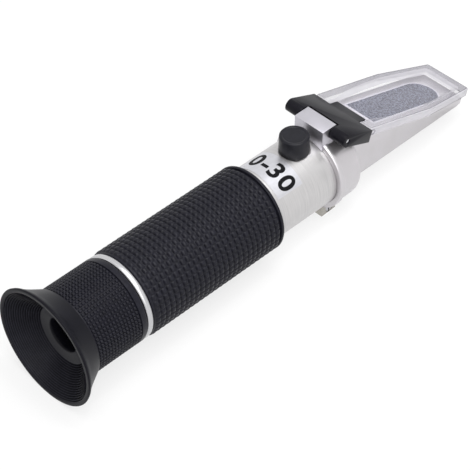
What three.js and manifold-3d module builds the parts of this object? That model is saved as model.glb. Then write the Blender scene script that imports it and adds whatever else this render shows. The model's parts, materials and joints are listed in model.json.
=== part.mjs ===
// Handheld brix refractometer: a tube with an eyepiece at one end and a sloping prism under a hinged
// daylight plate at the other. Millimetres, optical axis along X, eye at -X, up is +Z.
import * as THREE from 'three';
import { mergeVertices } from 'three/addons/utils/BufferGeometryUtils.js';
import Module from 'manifold-3d';

const wasm = await Module();
wasm.setup();

// Sides of the round pieces, by how large they look, and steps of their rounded edges
const BARREL_SIDES = 56;
const EYECUP_SIDES = 40;
const INNER_SIDES = 24;
const SMALL_SIDES = 16;
const NUT_SIDES = 6;
const EDGE_STEPS = 2;
const CORNER_STEPS = 3;
const RECESS_STEPS = 4;

// Clearances
const SEAT_GAP = 0.1;
const RUN_GAP = 0.3;
const PIVOT_GAP = 0.08;
const CUT_OVERRUN = 2;

// Tube, from which the other round pieces take their radius
const TUBE_RADIUS = 12.32;
const TUBE_WALL = 1.5;
const TUBE_BORE = TUBE_RADIUS - TUBE_WALL;
const SLEEVE_INNER = TUBE_RADIUS + SEAT_GAP;

// Collar and grip
const COLLAR_LENGTH = 2.2;
const COLLAR_WALL = 1.73;
const COLLAR_RADIUS = SLEEVE_INNER + COLLAR_WALL;
const COLLAR_EDGE_ROUND = 0.6;
const GRIP_LENGTH = 53;
const GRIP_WALL = 2.08;
const GRIP_RADIUS = SLEEVE_INNER + GRIP_WALL;
const GRIP_EDGE_ROUND = 0.4;
const GRIP_LIP_LENGTH = 1;
const GRIP_GROOVE_WIDTH = 0.6;
const GRIP_GROOVE_DEPTH = 0.9;
const HEAD_LENGTH = 25.2;

// Eyepiece: lenses in a cell that slides in the rear of the tube
const CELL_RADIUS = TUBE_BORE - RUN_GAP;
const CELL_WALL = 1.92;
const CELL_BORE_RADIUS = CELL_RADIUS - CELL_WALL;
const CELL_STOP_LEDGE = 1;
const CELL_INSERTION = 16.4;
const CELL_END_GAP = 0.3;
const RETAINER_LENGTH = 1.4;
const RETAINER_WALL = 2.1;
const EYE_LENS_EDGE = 1.8;
const EYE_LENS_BULGE = 1;
const LENS_SPACER_LENGTH = 5;
const LENS_SPACER_WALL = 0.8;
const FIELD_LENS_EDGE = 1.8;
const FIELD_LENS_BULGE = 1.1;
const LENS_ARC_STEPS = 3;

// Focusing ring: a hard core with a soft knurled sleeve
const FOCUS_LENGTH = 19;
const FOCUS_CORE_WALL = 1.88;
const FOCUS_CORE_RADIUS = CELL_RADIUS + RUN_GAP + FOCUS_CORE_WALL;
const FOCUS_SLEEVE_WALL = 1.4;
const FOCUS_RADIUS = FOCUS_CORE_RADIUS + SEAT_GAP + FOCUS_SLEEVE_WALL;
const FOCUS_LIP_LENGTH = 2;
const FOCUS_EDGE_ROUND = 0.4;

// Eyecup: a soft funnel with fine rings inside
const EYECUP_LENGTH = 8.2;
const EYECUP_RIM_RADIUS = 19.5;
const EYECUP_BASE_STEP = 0.4;
const EYECUP_BASE_RADIUS = FOCUS_RADIUS + EYECUP_BASE_STEP;
const EYECUP_RIM_WIDTH = 1.4;
const EYECUP_RIM_BAND = 0.9;
const EYECUP_EDGE_ROUND = 0.35;
const EYECUP_SPIGOT_STEP = 1.62;
const EYECUP_SPIGOT_RADIUS = CELL_RADIUS - EYECUP_SPIGOT_STEP;
const EYECUP_SPIGOT_WALL = 3.1;
const EYE_HOLE_RADIUS = EYECUP_SPIGOT_RADIUS - EYECUP_SPIGOT_WALL;
const EYECUP_FLOOR_THICKNESS = 1.2;
const EYECUP_FLOOR_DEPTH = EYECUP_LENGTH - EYECUP_FLOOR_THICKNESS;
const EYECUP_FLOOR_MARGIN = 0.6;
const EYECUP_FLOOR_RADIUS = EYECUP_SPIGOT_RADIUS + EYECUP_FLOOR_MARGIN;
const EYECUP_RINGS = 13;
const EYECUP_RING_DEPTH = 0.3;
const EYECUP_FLARE_STEPS = 5;
const EYECUP_FLARE_SHARE = 0.82;

// Reticle and stray light stop inside the tube
const RETICLE_INSET = 22.5;
const RETICLE_CELL_LENGTH = 6;
const RETICLE_CELL_WALL = 2.12;
const RETICLE_RADIUS = TUBE_BORE - SEAT_GAP - RETICLE_CELL_WALL - SEAT_GAP;
const RETICLE_THICKNESS = 1.5;
const RETICLE_STOP_LENGTH = 1;
const RETICLE_STOP_LEDGE = 0.7;
const RETICLE_RING_LENGTH = 1.2;
const RETICLE_RING_WALL = 1.1;
const BAFFLE_SPACING = 16;
const BAFFLE_THICKNESS = 0.8;
const BAFFLE_RIM_WIDTH = 4.22;

// Calibration screw, its bush and its rubber cap, on top of the head
const SCREW_SETBACK = 6.7;
const SCREW_RADIUS = 1.5;
const SCREW_SINK = 0.9;
const SCREW_SLOT_WIDTH = 0.5;
const SCREW_SLOT_DEPTH = 0.7;
const SCREW_TIP_GAP = 0.4;
const BUSH_WALL = 1.4;
const BUSH_RADIUS = SCREW_RADIUS + SEAT_GAP + BUSH_WALL;
const BUSH_RISE = 2.98;
const BUSH_TOP = TUBE_RADIUS + BUSH_RISE;
const BUSH_FLANGE_STEP = 0.8;
const BUSH_FLANGE_LENGTH = 0.6;
const SCREW_TOP = BUSH_TOP - SCREW_SINK;
const CAP_WALL = 1.55;
const CAP_SKIRT_RADIUS = BUSH_RADIUS + RUN_GAP + CAP_WALL;
const CAP_TAPER = 0.15;
const CAP_TOP_RADIUS = CAP_SKIRT_RADIUS - CAP_TAPER;
const CAP_EDGE_ROUND = 0.5;
const CAP_ROOF = 1.4;
const CAP_ROOM = 1.3;
const CAP_TOP = BUSH_TOP + CAP_ROOM + CAP_ROOF;
const SPOT_FACE_MARGIN = 0.35;
const SPOT_FACE_RADIUS = CAP_SKIRT_RADIUS + SPOT_FACE_MARGIN;
const SPOT_FACE_DEPTH = 0.82;
const SPOT_FACE_HEIGHT = TUBE_RADIUS - SPOT_FACE_DEPTH;

// Objective lens in a mount on a bimetal strip
const OBJECTIVE_ROOM = 2.52;
const OBJECTIVE_RADIUS = TUBE_BORE - OBJECTIVE_ROOM;
const OBJECTIVE_LENGTH = 7;
const OBJECTIVE_PAD_STEP = 0.3;
const OBJECTIVE_PAD_HEIGHT = OBJECTIVE_RADIUS + OBJECTIVE_PAD_STEP;
const OBJECTIVE_PAD_LENGTH = 4.6;
const OBJECTIVE_PAD_WIDTH = 5;
const OBJECTIVE_WALL = 1.2;
const OBJECTIVE_LENS_RADIUS = OBJECTIVE_RADIUS - OBJECTIVE_WALL - SEAT_GAP;
const OBJECTIVE_STOP_LEDGE = 0.8;
const OBJECTIVE_STOP_RADIUS = OBJECTIVE_LENS_RADIUS - OBJECTIVE_STOP_LEDGE;
const OBJECTIVE_STOP_LENGTH = 0.9;
const CROWN_EDGE = 1.3;
const CROWN_BULGE = 0.7;
const FLINT_EDGE = 1.9;
const OBJECTIVE_RING_LENGTH = 1.1;
const OBJECTIVE_RING_WALL = 0.8;
const STRIP_THICKNESS = 0.5;
const STRIP_WIDTH = 5;
const STRIP_REACH = 25.8;
const STRIP_CLAMP_LENGTH = 6.4;
const STRIP_END_OVERHANG = 0.4;
const STRIP_PLAY = 0.15;
const STRIP_SCREW_SPACING = 3.2;
const STRIP_SCREW_RADIUS = 0.8;
const STRIP_SCREW_HEAD_RADIUS = 1.4;
const STRIP_SCREW_HEAD_LENGTH = 0.9;
const STRIP_HOLE_PLAY = 0.3;

// Prism housing: a skirt over the end of the tube, a hinge block on top, a clamp lug below, a wedge ahead
const SKIRT_WALL = 1.18;
const SKIRT_RADIUS = SLEEVE_INNER + SKIRT_WALL;
const SKIRT_LENGTH = 11.4;
const SKIRT_FRONT_WALL = 2.4;
const SKIRT_FRONT_ROUND = 3.4;
const SKIRT_FRONT_STEPS = 5;
const RIM_BAND_STEP = 0.55;
const RIM_BAND_RADIUS = SKIRT_RADIUS + RIM_BAND_STEP;
const RIM_BAND_WIDTH = 2.2;
const RIM_BAND_ROUND = 0.5;
const BLOCK_LENGTH = 5.9;
const BLOCK_WIDTH = 11.8;
const BLOCK_RISE = 4.8;
const BLOCK_TOP = SKIRT_RADIUS + BLOCK_RISE;
const BLOCK_SETBACK = 0.4;
const LUG_LENGTH = 6.2;
const LUG_WIDTH = 14;
const LUG_DROP = 1.9;
const LUG_BOTTOM = SKIRT_RADIUS + LUG_DROP;
const LUG_SETBACK = 0.6;
const LUG_SLIT = 1;
const CLAMP_SETBACK = 0.3;
const CLAMP_SCREW_RADIUS = 0.9;
const CLAMP_HEAD_RADIUS = 1.55;
const CLAMP_HEAD_LENGTH = 1.3;
const CLAMP_HEAD_SLOT = 0.5;
const CLAMP_SLOT_DEPTH = 0.6;
const CLAMP_NUT_RADIUS = 1.7;
const CLAMP_NUT_LENGTH = 1.4;

// The measuring plane slopes down from the skirt to the tip of the wedge
const PLANE_ANGLE = THREE.MathUtils.degToRad(16.7);
const PLANE_DROP = 1.45;
const PLANE_HEIGHT = SKIRT_RADIUS - PLANE_DROP;
const WEDGE_WIDTH = 18;
const WEDGE_LENGTH = 52;
const WEDGE_SLOPE_LENGTH = WEDGE_LENGTH / Math.cos(PLANE_ANGLE);
const WEDGE_TIP_THICKNESS = 1.85;
const WEDGE_BOTTOM = WEDGE_LENGTH * Math.tan(PLANE_ANGLE) - PLANE_HEIGHT + WEDGE_TIP_THICKNESS;
const WEDGE_ROOT_DEPTH = 4;
const WEDGE_TIP_ROUND = 2.4;
const PRISM_WIDTH = 11.3;
const PRISM_REAR = 12.2;
const PRISM_TIP_MARGIN = 5.69;
const PRISM_SEAT_THICKNESS = 1.4;
const PRISM_FLOOR = WEDGE_BOTTOM - PRISM_SEAT_THICKNESS;
const PRISM_ARC_STEPS = 14;
const LIGHT_WAY_RADIUS = 4.6;
const LIGHT_WAY_DEPTH = 9.55;
const LIGHT_WAY_HEIGHT = PLANE_HEIGHT - LIGHT_WAY_DEPTH;

// Hinge pin and the hinge frame that carries the daylight plate
const PIN_SETBACK = 1.4;
const PIN_DEPTH = 2.05;
const PIN_HEIGHT = BLOCK_TOP - PIN_DEPTH;
const PIN_RADIUS = 0.75;
const PIN_END_RECESS = 0.2;
const FRAME_ANGLE = THREE.MathUtils.degToRad(22.8);
const FRAME_WIDTH = 24.6;
const FRAME_LENGTH = 11;
const FRAME_KNUCKLE_RADIUS = 2.2;
const FRAME_BAR_BOTTOM = 0.2;
const FRAME_CHEEK_BOTTOM = 2.05;
const FRAME_CHEEK_WIDTH = 1.9;
const FRAME_CHEEK_RAKE = 0.4;
const FRAME_SWEEP_GAP = 0.52;

// Daylight plate: a clear lid with a raised border round a shallow recess
const SAMPLE_GAP = 0.3;
const PLATE_THICKNESS = 2.8;
const PLATE_TOP_OFFSET = SAMPLE_GAP + PLATE_THICKNESS;
const PLATE_RECESS = 1.3;
const PLATE_REAR = 3.2;
const PLATE_OVERHANG = 2.31;
const PLATE_TIP = WEDGE_SLOPE_LENGTH + PLATE_OVERHANG;
const PLATE_TAPER_LENGTH = 23.4;
const PLATE_KINK = PLATE_TIP - PLATE_TAPER_LENGTH;
const PLATE_REAR_INSET = 0.7;
const PLATE_KINK_INSET = 0.3;
const PLATE_TIP_INSET = 0.2;
const PLATE_REAR_HALF = FRAME_WIDTH / 2 - PLATE_REAR_INSET;
const PLATE_KINK_HALF = FRAME_WIDTH / 2 - PLATE_KINK_INSET;
const PLATE_TIP_HALF = WEDGE_WIDTH / 2 - PLATE_TIP_INSET;
const PLATE_CORNER = 0.9;
const RECESS_TIP_BORDER = 3.1;
const RECESS_KINK_BORDER = 2.4;
const RECESS_SIDE_BORDER = 1.7;
const RECESS_REAR_BORDER = 4.7;
const RECESS_REAR_SLOPE = 0.3;
const RECESS_WALL_SLOPE = 1.2;
const RECESS_THROAT_MARGIN = 0.9;
const TONGUE_SIDE_GAP = 0.6;
const TONGUE_HALF = PLATE_REAR_HALF - RECESS_REAR_BORDER - RECESS_REAR_SLOPE - TONGUE_SIDE_GAP;
const TONGUE_REACH = 3.9;
const TONGUE_RISE = 0.6;
const TONGUE_ROOT = 1.6;

// Places along the axis, from the eyecup rim
const FOCUS_START = EYECUP_LENGTH;
const FOCUS_END = FOCUS_START + FOCUS_LENGTH;
const CELL_START = FOCUS_START + FOCUS_LIP_LENGTH + CELL_END_GAP;
const TUBE_START = FOCUS_END + RUN_GAP;
const COLLAR_END = TUBE_START + COLLAR_LENGTH;
const GRIP_START = COLLAR_END + SEAT_GAP;
const GRIP_END = GRIP_START + GRIP_LENGTH;
const SKIRT_START = GRIP_END + HEAD_LENGTH;
const SKIRT_END = SKIRT_START + SKIRT_LENGTH;
const TUBE_END = SKIRT_END - SKIRT_FRONT_WALL;
const WEDGE_END = SKIRT_END + WEDGE_LENGTH;
const RETICLE_PLACE = TUBE_START + RETICLE_INSET;
const BAFFLE_PLACE = RETICLE_PLACE + BAFFLE_SPACING;
const SCREW_PLACE = SKIRT_START - SCREW_SETBACK;
const STRIP_ROOT_PLACE = SCREW_PLACE - STRIP_REACH;
const BLOCK_START = SKIRT_START - BLOCK_SETBACK;
const LUG_START = SKIRT_START - LUG_SETBACK;
const PIN_PLACE = BLOCK_START + BLOCK_LENGTH - PIN_SETBACK;
const PLATE_REACH = PLATE_TIP * Math.cos(PLANE_ANGLE) + PLATE_TOP_OFFSET * Math.sin(PLANE_ANGLE);
const TOTAL_LENGTH = SKIRT_END + PLATE_REACH;

// A closed geometry with shared corners, no flat triangles and its faces pointing out
function closed(geometry) {
  const bare = geometry.clone();
  bare.deleteAttribute('normal');
  bare.deleteAttribute('uv');
  const merged = mergeVertices(bare);
  const corners = merged.index.array;
  const kept = [];
  for (let i = 0; i < corners.length; i += 3) {
    const [a, b, c] = corners.slice(i, i + 3);
    if (a !== b && b !== c && c !== a) {
      kept.push(a, b, c);
    }
  }
  merged.setIndex(kept);
  if (signedVolume(merged) < 0) {
    merged.setIndex(kept.reverse());
  }
  return merged;
}

function signedVolume(geometry) {
  const points = geometry.attributes.position;
  const corners = geometry.index.array;
  const a = new THREE.Vector3();
  const b = new THREE.Vector3();
  const c = new THREE.Vector3();
  let sum = 0;
  for (let i = 0; i < corners.length; i += 3) {
    a.fromBufferAttribute(points, corners[i]);
    b.fromBufferAttribute(points, corners[i + 1]);
    c.fromBufferAttribute(points, corners[i + 2]);
    sum += a.dot(b.cross(c));
  }
  return sum;
}

// Booleans on closed geometries
function toSolid(geometry) {
  const body = closed(geometry);
  const vertProperties = new Float32Array(body.attributes.position.array);
  const triVerts = new Uint32Array(body.index.array);
  return new wasm.Manifold(new wasm.Mesh({ numProp: 3, vertProperties, triVerts }));
}

function toGeometry(solid) {
  const mesh = solid.getMesh();
  const geometry = new THREE.BufferGeometry();
  geometry.setAttribute('position', new THREE.BufferAttribute(new Float32Array(mesh.vertProperties), 3));
  geometry.setIndex(Array.from(mesh.triVerts));
  return geometry;
}

function join(...geometries) {
  return toGeometry(geometries.map(toSolid).reduce((sum, next) => sum.add(next)));
}

function cut(geometry, ...tools) {
  return toGeometry(tools.map(toSolid).reduce((rest, tool) => rest.subtract(tool), toSolid(geometry)));
}

function common(first, second) {
  return toGeometry(toSolid(first).intersect(toSolid(second)));
}

// A profile of [place, radius] pairs turned round the X axis; it closes on itself or ends on the axis
function turned(profile, sides) {
  const points = profile.map(([place, radius]) => new THREE.Vector2(radius, place));
  return closed(new THREE.LatheGeometry(points, sides).rotateZ(-Math.PI / 2));
}

// A profile of [height, radius] pairs turned round an upright axis at a place on X
function upright(profile, place, sides) {
  const points = profile.map(([height, radius]) => new THREE.Vector2(radius, height));
  return closed(new THREE.LatheGeometry(points, sides).rotateX(Math.PI / 2).translate(place, 0, 0));
}

function ring(start, end, inner, outer, sides = INNER_SIDES) {
  return turned([[start, inner], [start, outer], [end, outer], [end, inner], [start, inner]], sides);
}

function rod(start, end, radius, sides = INNER_SIDES) {
  return turned([[start, 0], [start, radius], [end, radius], [end, 0]], sides);
}

function uprightRod(place, low, high, radius, sides = SMALL_SIDES) {
  return upright([[low, 0], [low, radius], [high, radius], [high, 0]], place, sides);
}

// A pin along Y
function crossRod(place, height, low, high, radius, sides = SMALL_SIDES) {
  const pin = new THREE.CylinderGeometry(radius, radius, high - low, sides);
  return closed(pin.translate(place, (low + high) / 2, height));
}

function box(lowX, highX, width, lowZ, highZ) {
  const block = new THREE.BoxGeometry(highX - lowX, width, highZ - lowZ);
  return closed(block.translate((lowX + highX) / 2, 0, (lowZ + highZ) / 2));
}

// An outline in X and Z, given width along Y
function slab(outline, lowY, highY) {
  const shape = new THREE.Shape(outline.map(([x, z]) => new THREE.Vector2(x, z)));
  const body = new THREE.ExtrudeGeometry(shape, { depth: highY - lowY, bevelEnabled: false });
  return closed(body.rotateX(Math.PI / 2).translate(0, highY, 0));
}

// An outline in X and Y, given height along Z
function plate(outline, lowZ, highZ) {
  const shape = new THREE.Shape(outline.map(([x, y]) => new THREE.Vector2(x, y)));
  const body = new THREE.ExtrudeGeometry(shape, { depth: highZ - lowZ, bevelEnabled: false });
  return closed(body.translate(0, 0, lowZ));
}

// A solid between two anticlockwise outlines with as many points each, the second above the first
function between(lowOutline, lowZ, highOutline, highZ) {
  const count = lowOutline.length;
  const low = lowOutline.map(([x, y]) => new THREE.Vector2(x, y));
  const caps = THREE.ShapeUtils.triangulateShape(low, []);
  const corners = caps.flatMap(([a, b, c]) => [a, c, b, count + a, count + b, count + c]);
  for (let i = 0; i < count; i += 1) {
    const next = (i + 1) % count;
    corners.push(i, next, count + next, i, count + next, count + i);
  }
  const points = [...lowOutline.map(([x, y]) => [x, y, lowZ]), ...highOutline.map(([x, y]) => [x, y, highZ])];
  const body = new THREE.BufferGeometry();
  body.setAttribute('position', new THREE.Float32BufferAttribute(points.flat(), 3));
  body.setIndex(corners);
  return closed(body);
}

// Points on a quarter round from one end to the other
function quarter(centreX, centreR, radius, from, steps) {
  const points = [];
  for (let i = 0; i <= steps; i += 1) {
    const angle = from - (i / steps) * (Math.PI / 2);
    points.push([centreX + radius * Math.cos(angle), centreR + radius * Math.sin(angle)]);
  }
  return points;
}

// A sleeve whose outer edges are rounded
function sleeve(start, end, inner, outer, round, sides) {
  return turned([
    [start, inner],
    ...quarter(start + round, outer - round, round, Math.PI, EDGE_STEPS),
    ...quarter(end - round, outer - round, round, Math.PI / 2, EDGE_STEPS),
    [end, inner],
    [start, inner],
  ], sides);
}

// A lens with one face bulging by each given amount; a negative one is hollow
function lens(start, edge, radius, rearBulge, frontBulge) {
  const points = [];
  for (let i = 0; i <= LENS_ARC_STEPS; i += 1) {
    const share = i / LENS_ARC_STEPS;
    points.push([start - rearBulge * (1 - share * share), radius * share]);
  }
  for (let i = LENS_ARC_STEPS; i >= 0; i -= 1) {
    const share = i / LENS_ARC_STEPS;
    points.push([start + edge + frontBulge * (1 - share * share), radius * share]);
  }
  return turned(points, INNER_SIDES);
}

// Moves a shape drawn on the measuring plane to where that plane lies
function onPlane(geometry) {
  return geometry.clone().rotateY(PLANE_ANGLE).translate(SKIRT_END, 0, PLANE_HEIGHT);
}

function planeHeightAt(place) {
  return PLANE_HEIGHT - (place - SKIRT_END) * Math.tan(PLANE_ANGLE);
}

function eyecup() {
  const flare = [];
  for (let i = 0; i <= EYECUP_FLARE_STEPS; i += 1) {
    const share = i / EYECUP_FLARE_STEPS;
    const place = EYECUP_RIM_BAND + share * (EYECUP_LENGTH - EYECUP_RIM_BAND);
    const drop = (EYECUP_RIM_RADIUS - EYECUP_EDGE_ROUND - EYECUP_BASE_RADIUS) * share ** EYECUP_FLARE_SHARE;
    flare.push([place, EYECUP_RIM_RADIUS - EYECUP_EDGE_ROUND - drop]);
  }
  const lipInner = EYECUP_RIM_RADIUS - EYECUP_RIM_WIDTH;
  const rings = [];
  for (let i = 0; i < EYECUP_RINGS; i += 1) {
    const share = i / EYECUP_RINGS;
    const middle = (i + 1 / 2) / EYECUP_RINGS;
    const radius = (at) => EYECUP_FLOOR_RADIUS + (lipInner - EYECUP_FLOOR_RADIUS) * at;
    const place = (at) => EYECUP_FLOOR_DEPTH * (1 - at);
    rings.push([place(share), radius(share)]);
    rings.push([place(middle) + EYECUP_RING_DEPTH, radius(middle)]);
  }
  const spigotEnd = EYECUP_LENGTH + FOCUS_LIP_LENGTH;
  return turned([
    [EYECUP_FLOOR_DEPTH, EYE_HOLE_RADIUS],
    ...rings,
    [0, lipInner],
    [0, EYECUP_RIM_RADIUS - EYECUP_EDGE_ROUND],
    [EYECUP_EDGE_ROUND, EYECUP_RIM_RADIUS],
    [EYECUP_RIM_BAND - EYECUP_EDGE_ROUND, EYECUP_RIM_RADIUS],
    ...flare,
    [EYECUP_LENGTH, EYECUP_SPIGOT_RADIUS],
    [spigotEnd, EYECUP_SPIGOT_RADIUS],
    [spigotEnd, EYE_HOLE_RADIUS],
    [EYECUP_FLOOR_DEPTH, EYE_HOLE_RADIUS],
  ], EYECUP_SIDES);
}

function focusSleeve() {
  const inner = FOCUS_CORE_RADIUS + SEAT_GAP;
  return sleeve(FOCUS_START + SEAT_GAP, FOCUS_END, inner, FOCUS_RADIUS, FOCUS_EDGE_ROUND, BARREL_SIDES);
}

function focusCore() {
  const start = FOCUS_START + SEAT_GAP;
  const bore = CELL_RADIUS + RUN_GAP;
  const lip = EYECUP_SPIGOT_RADIUS + SEAT_GAP;
  const lipEnd = FOCUS_START + FOCUS_LIP_LENGTH;
  return turned([
    [start, lip],
    [start, FOCUS_CORE_RADIUS],
    [FOCUS_END, FOCUS_CORE_RADIUS],
    [FOCUS_END, bore],
    [lipEnd, bore],
    [lipEnd, lip],
    [start, lip],
  ], INNER_SIDES);
}

// How far a lens face stands proud of its edge where a ring's inner edge bears on it
function proud(bulge, radius, ringInner) {
  return bulge * (1 - (ringInner / radius) ** 2);
}

// The lenses stand one behind the other in the cell, against its stop
const CELL_GLASS_RADIUS = CELL_BORE_RADIUS - SEAT_GAP;
const RETAINER_OPENING = CELL_GLASS_RADIUS - RETAINER_WALL;
const SPACER_INNER = CELL_GLASS_RADIUS - LENS_SPACER_WALL;
const RETAINER_START = CELL_START + CELL_END_GAP;
const RETAINER_END = RETAINER_START + RETAINER_LENGTH;
const EYE_LENS_START = RETAINER_END + SEAT_GAP + proud(EYE_LENS_BULGE, CELL_GLASS_RADIUS, RETAINER_OPENING);
const EYE_LENS_END = EYE_LENS_START + EYE_LENS_EDGE;
const SPACER_START = EYE_LENS_END + SEAT_GAP + proud(EYE_LENS_BULGE, CELL_GLASS_RADIUS, SPACER_INNER);
const SPACER_END = SPACER_START + LENS_SPACER_LENGTH;
const FIELD_LENS_START = SPACER_END + SEAT_GAP + proud(FIELD_LENS_BULGE, CELL_GLASS_RADIUS, SPACER_INNER);
const CELL_STOP = FIELD_LENS_START + FIELD_LENS_EDGE + SEAT_GAP;

function eyepieceCell() {
  const end = TUBE_START + CELL_INSERTION;
  const stop = CELL_BORE_RADIUS - CELL_STOP_LEDGE;
  return turned([
    [CELL_START, CELL_BORE_RADIUS],
    [CELL_START, CELL_RADIUS],
    [end, CELL_RADIUS],
    [end, stop],
    [CELL_STOP, stop],
    [CELL_STOP, CELL_BORE_RADIUS],
    [CELL_START, CELL_BORE_RADIUS],
  ], INNER_SIDES);
}

function eyepieceRetainer() {
  return ring(RETAINER_START, RETAINER_END, RETAINER_OPENING, CELL_GLASS_RADIUS);
}

function eyeLens() {
  return lens(EYE_LENS_START, EYE_LENS_EDGE, CELL_GLASS_RADIUS, EYE_LENS_BULGE, EYE_LENS_BULGE);
}

function lensSpacer() {
  return ring(SPACER_START, SPACER_END, SPACER_INNER, CELL_GLASS_RADIUS);
}

function fieldLens() {
  return lens(FIELD_LENS_START, FIELD_LENS_EDGE, CELL_GLASS_RADIUS, FIELD_LENS_BULGE, 0);
}

function collarRing() {
  return sleeve(TUBE_START, COLLAR_END, SLEEVE_INNER, COLLAR_RADIUS, COLLAR_EDGE_ROUND, BARREL_SIDES);
}

function gripSleeve() {
  const edgeCentre = GRIP_RADIUS - GRIP_EDGE_ROUND;
  const lipStart = GRIP_END - GRIP_LIP_LENGTH;
  const grooveStart = lipStart - GRIP_GROOVE_WIDTH;
  const grooveRadius = GRIP_RADIUS - GRIP_GROOVE_DEPTH;
  return turned([
    [GRIP_START, SLEEVE_INNER],
    ...quarter(GRIP_START + GRIP_EDGE_ROUND, edgeCentre, GRIP_EDGE_ROUND, Math.PI, EDGE_STEPS),
    [grooveStart, GRIP_RADIUS],
    [grooveStart, grooveRadius],
    [lipStart, grooveRadius],
    [lipStart, GRIP_RADIUS],
    ...quarter(GRIP_END - GRIP_EDGE_ROUND, edgeCentre, GRIP_EDGE_ROUND, Math.PI / 2, EDGE_STEPS),
    [GRIP_END, SLEEVE_INNER],
    [GRIP_START, SLEEVE_INNER],
  ], BARREL_SIDES);
}

// The strip lies along the bottom of the bore, under the foot of the objective mount
const STRIP_TOP = -(OBJECTIVE_PAD_HEIGHT + SEAT_GAP);
const STRIP_BOTTOM = STRIP_TOP - STRIP_THICKNESS;
const STRIP_END = SCREW_PLACE + OBJECTIVE_PAD_LENGTH / 2 + STRIP_END_OVERHANG;
const STRIP_CLAMP_MIDDLE = STRIP_ROOT_PLACE + STRIP_CLAMP_LENGTH / 2;
const STRIP_SCREW_PLACES = [-1, 1].map((side) => STRIP_CLAMP_MIDDLE + side * STRIP_SCREW_SPACING / 2);
const STRIP_BLOCK_BOTTOM = SEAT_GAP - Math.sqrt(TUBE_BORE ** 2 - (STRIP_WIDTH / 2) ** 2);

function mainTube() {
  const body = ring(TUBE_START, TUBE_END, TUBE_BORE, TUBE_RADIUS, BARREL_SIDES);
  const bushHole = uprightRod(SCREW_PLACE, 0, TUBE_RADIUS + CUT_OVERRUN, BUSH_RADIUS + SEAT_GAP);
  const spotTop = TUBE_RADIUS + CUT_OVERRUN;
  const spotFace = uprightRod(SCREW_PLACE, SPOT_FACE_HEIGHT, spotTop, SPOT_FACE_RADIUS, INNER_SIDES);
  const tapped = STRIP_SCREW_RADIUS + SEAT_GAP;
  const screwHoles = STRIP_SCREW_PLACES.map((place) => uprightRod(place, -spotTop, 0, tapped));
  return cut(body, bushHole, spotFace, ...screwHoles);
}

function reticleCell() {
  const end = RETICLE_PLACE + RETICLE_CELL_LENGTH;
  const outer = TUBE_BORE - SEAT_GAP;
  const bore = RETICLE_RADIUS + SEAT_GAP;
  const opening = RETICLE_RADIUS - RETICLE_STOP_LEDGE;
  const stop = end - RETICLE_STOP_LENGTH;
  return turned([
    [RETICLE_PLACE, bore],
    [RETICLE_PLACE, outer],
    [end, outer],
    [end, opening],
    [stop, opening],
    [stop, bore],
    [RETICLE_PLACE, bore],
  ], INNER_SIDES);
}

const RETICLE_END = RETICLE_PLACE + RETICLE_CELL_LENGTH - RETICLE_STOP_LENGTH - SEAT_GAP;
const RETICLE_START = RETICLE_END - RETICLE_THICKNESS;

function reticle() {
  return rod(RETICLE_START, RETICLE_END, RETICLE_RADIUS);
}

function reticleRetainer() {
  const end = RETICLE_START - SEAT_GAP;
  return ring(end - RETICLE_RING_LENGTH, end, RETICLE_RADIUS - RETICLE_RING_WALL, RETICLE_RADIUS);
}

function lightBaffle() {
  const outer = TUBE_BORE - SEAT_GAP;
  return ring(BAFFLE_PLACE, BAFFLE_PLACE + BAFFLE_THICKNESS, outer - BAFFLE_RIM_WIDTH, outer);
}

function stripBlock() {
  const end = STRIP_ROOT_PLACE + STRIP_CLAMP_LENGTH;
  const block = box(STRIP_ROOT_PLACE, end, STRIP_WIDTH, STRIP_BLOCK_BOTTOM, STRIP_BOTTOM - STRIP_PLAY);
  const bore = STRIP_SCREW_RADIUS + SEAT_GAP;
  return cut(block, ...STRIP_SCREW_PLACES.map((place) => uprightRod(place, -TUBE_RADIUS, 0, bore)));
}

function stripScrew(place) {
  const seat = STRIP_TOP + STRIP_PLAY;
  return upright([
    [SEAT_GAP - TUBE_RADIUS, 0],
    [SEAT_GAP - TUBE_RADIUS, STRIP_SCREW_RADIUS],
    [seat, STRIP_SCREW_RADIUS],
    [seat, STRIP_SCREW_HEAD_RADIUS],
    [seat + STRIP_SCREW_HEAD_LENGTH, STRIP_SCREW_HEAD_RADIUS],
    [seat + STRIP_SCREW_HEAD_LENGTH, 0],
  ], place, SMALL_SIDES);
}

function bimetalStrip() {
  const strip = box(STRIP_ROOT_PLACE, STRIP_END, STRIP_WIDTH, STRIP_BOTTOM, STRIP_TOP);
  const hole = STRIP_SCREW_RADIUS + STRIP_HOLE_PLAY;
  return cut(strip, ...STRIP_SCREW_PLACES.map((place) => uprightRod(place, -TUBE_RADIUS, 0, hole)));
}

// The doublet stands in the mount against its rear stop
const OBJECTIVE_START = SCREW_PLACE - OBJECTIVE_LENGTH / 2;
const OBJECTIVE_STOP_END = OBJECTIVE_START + OBJECTIVE_STOP_LENGTH;
const CROWN_PROUD = proud(CROWN_BULGE, OBJECTIVE_LENS_RADIUS, OBJECTIVE_STOP_RADIUS);
const CROWN_START = OBJECTIVE_STOP_END + SEAT_GAP + CROWN_PROUD;
const FLINT_START = CROWN_START + CROWN_EDGE + SEAT_GAP;
const OBJECTIVE_RING_START = FLINT_START + FLINT_EDGE + SEAT_GAP;

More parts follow.
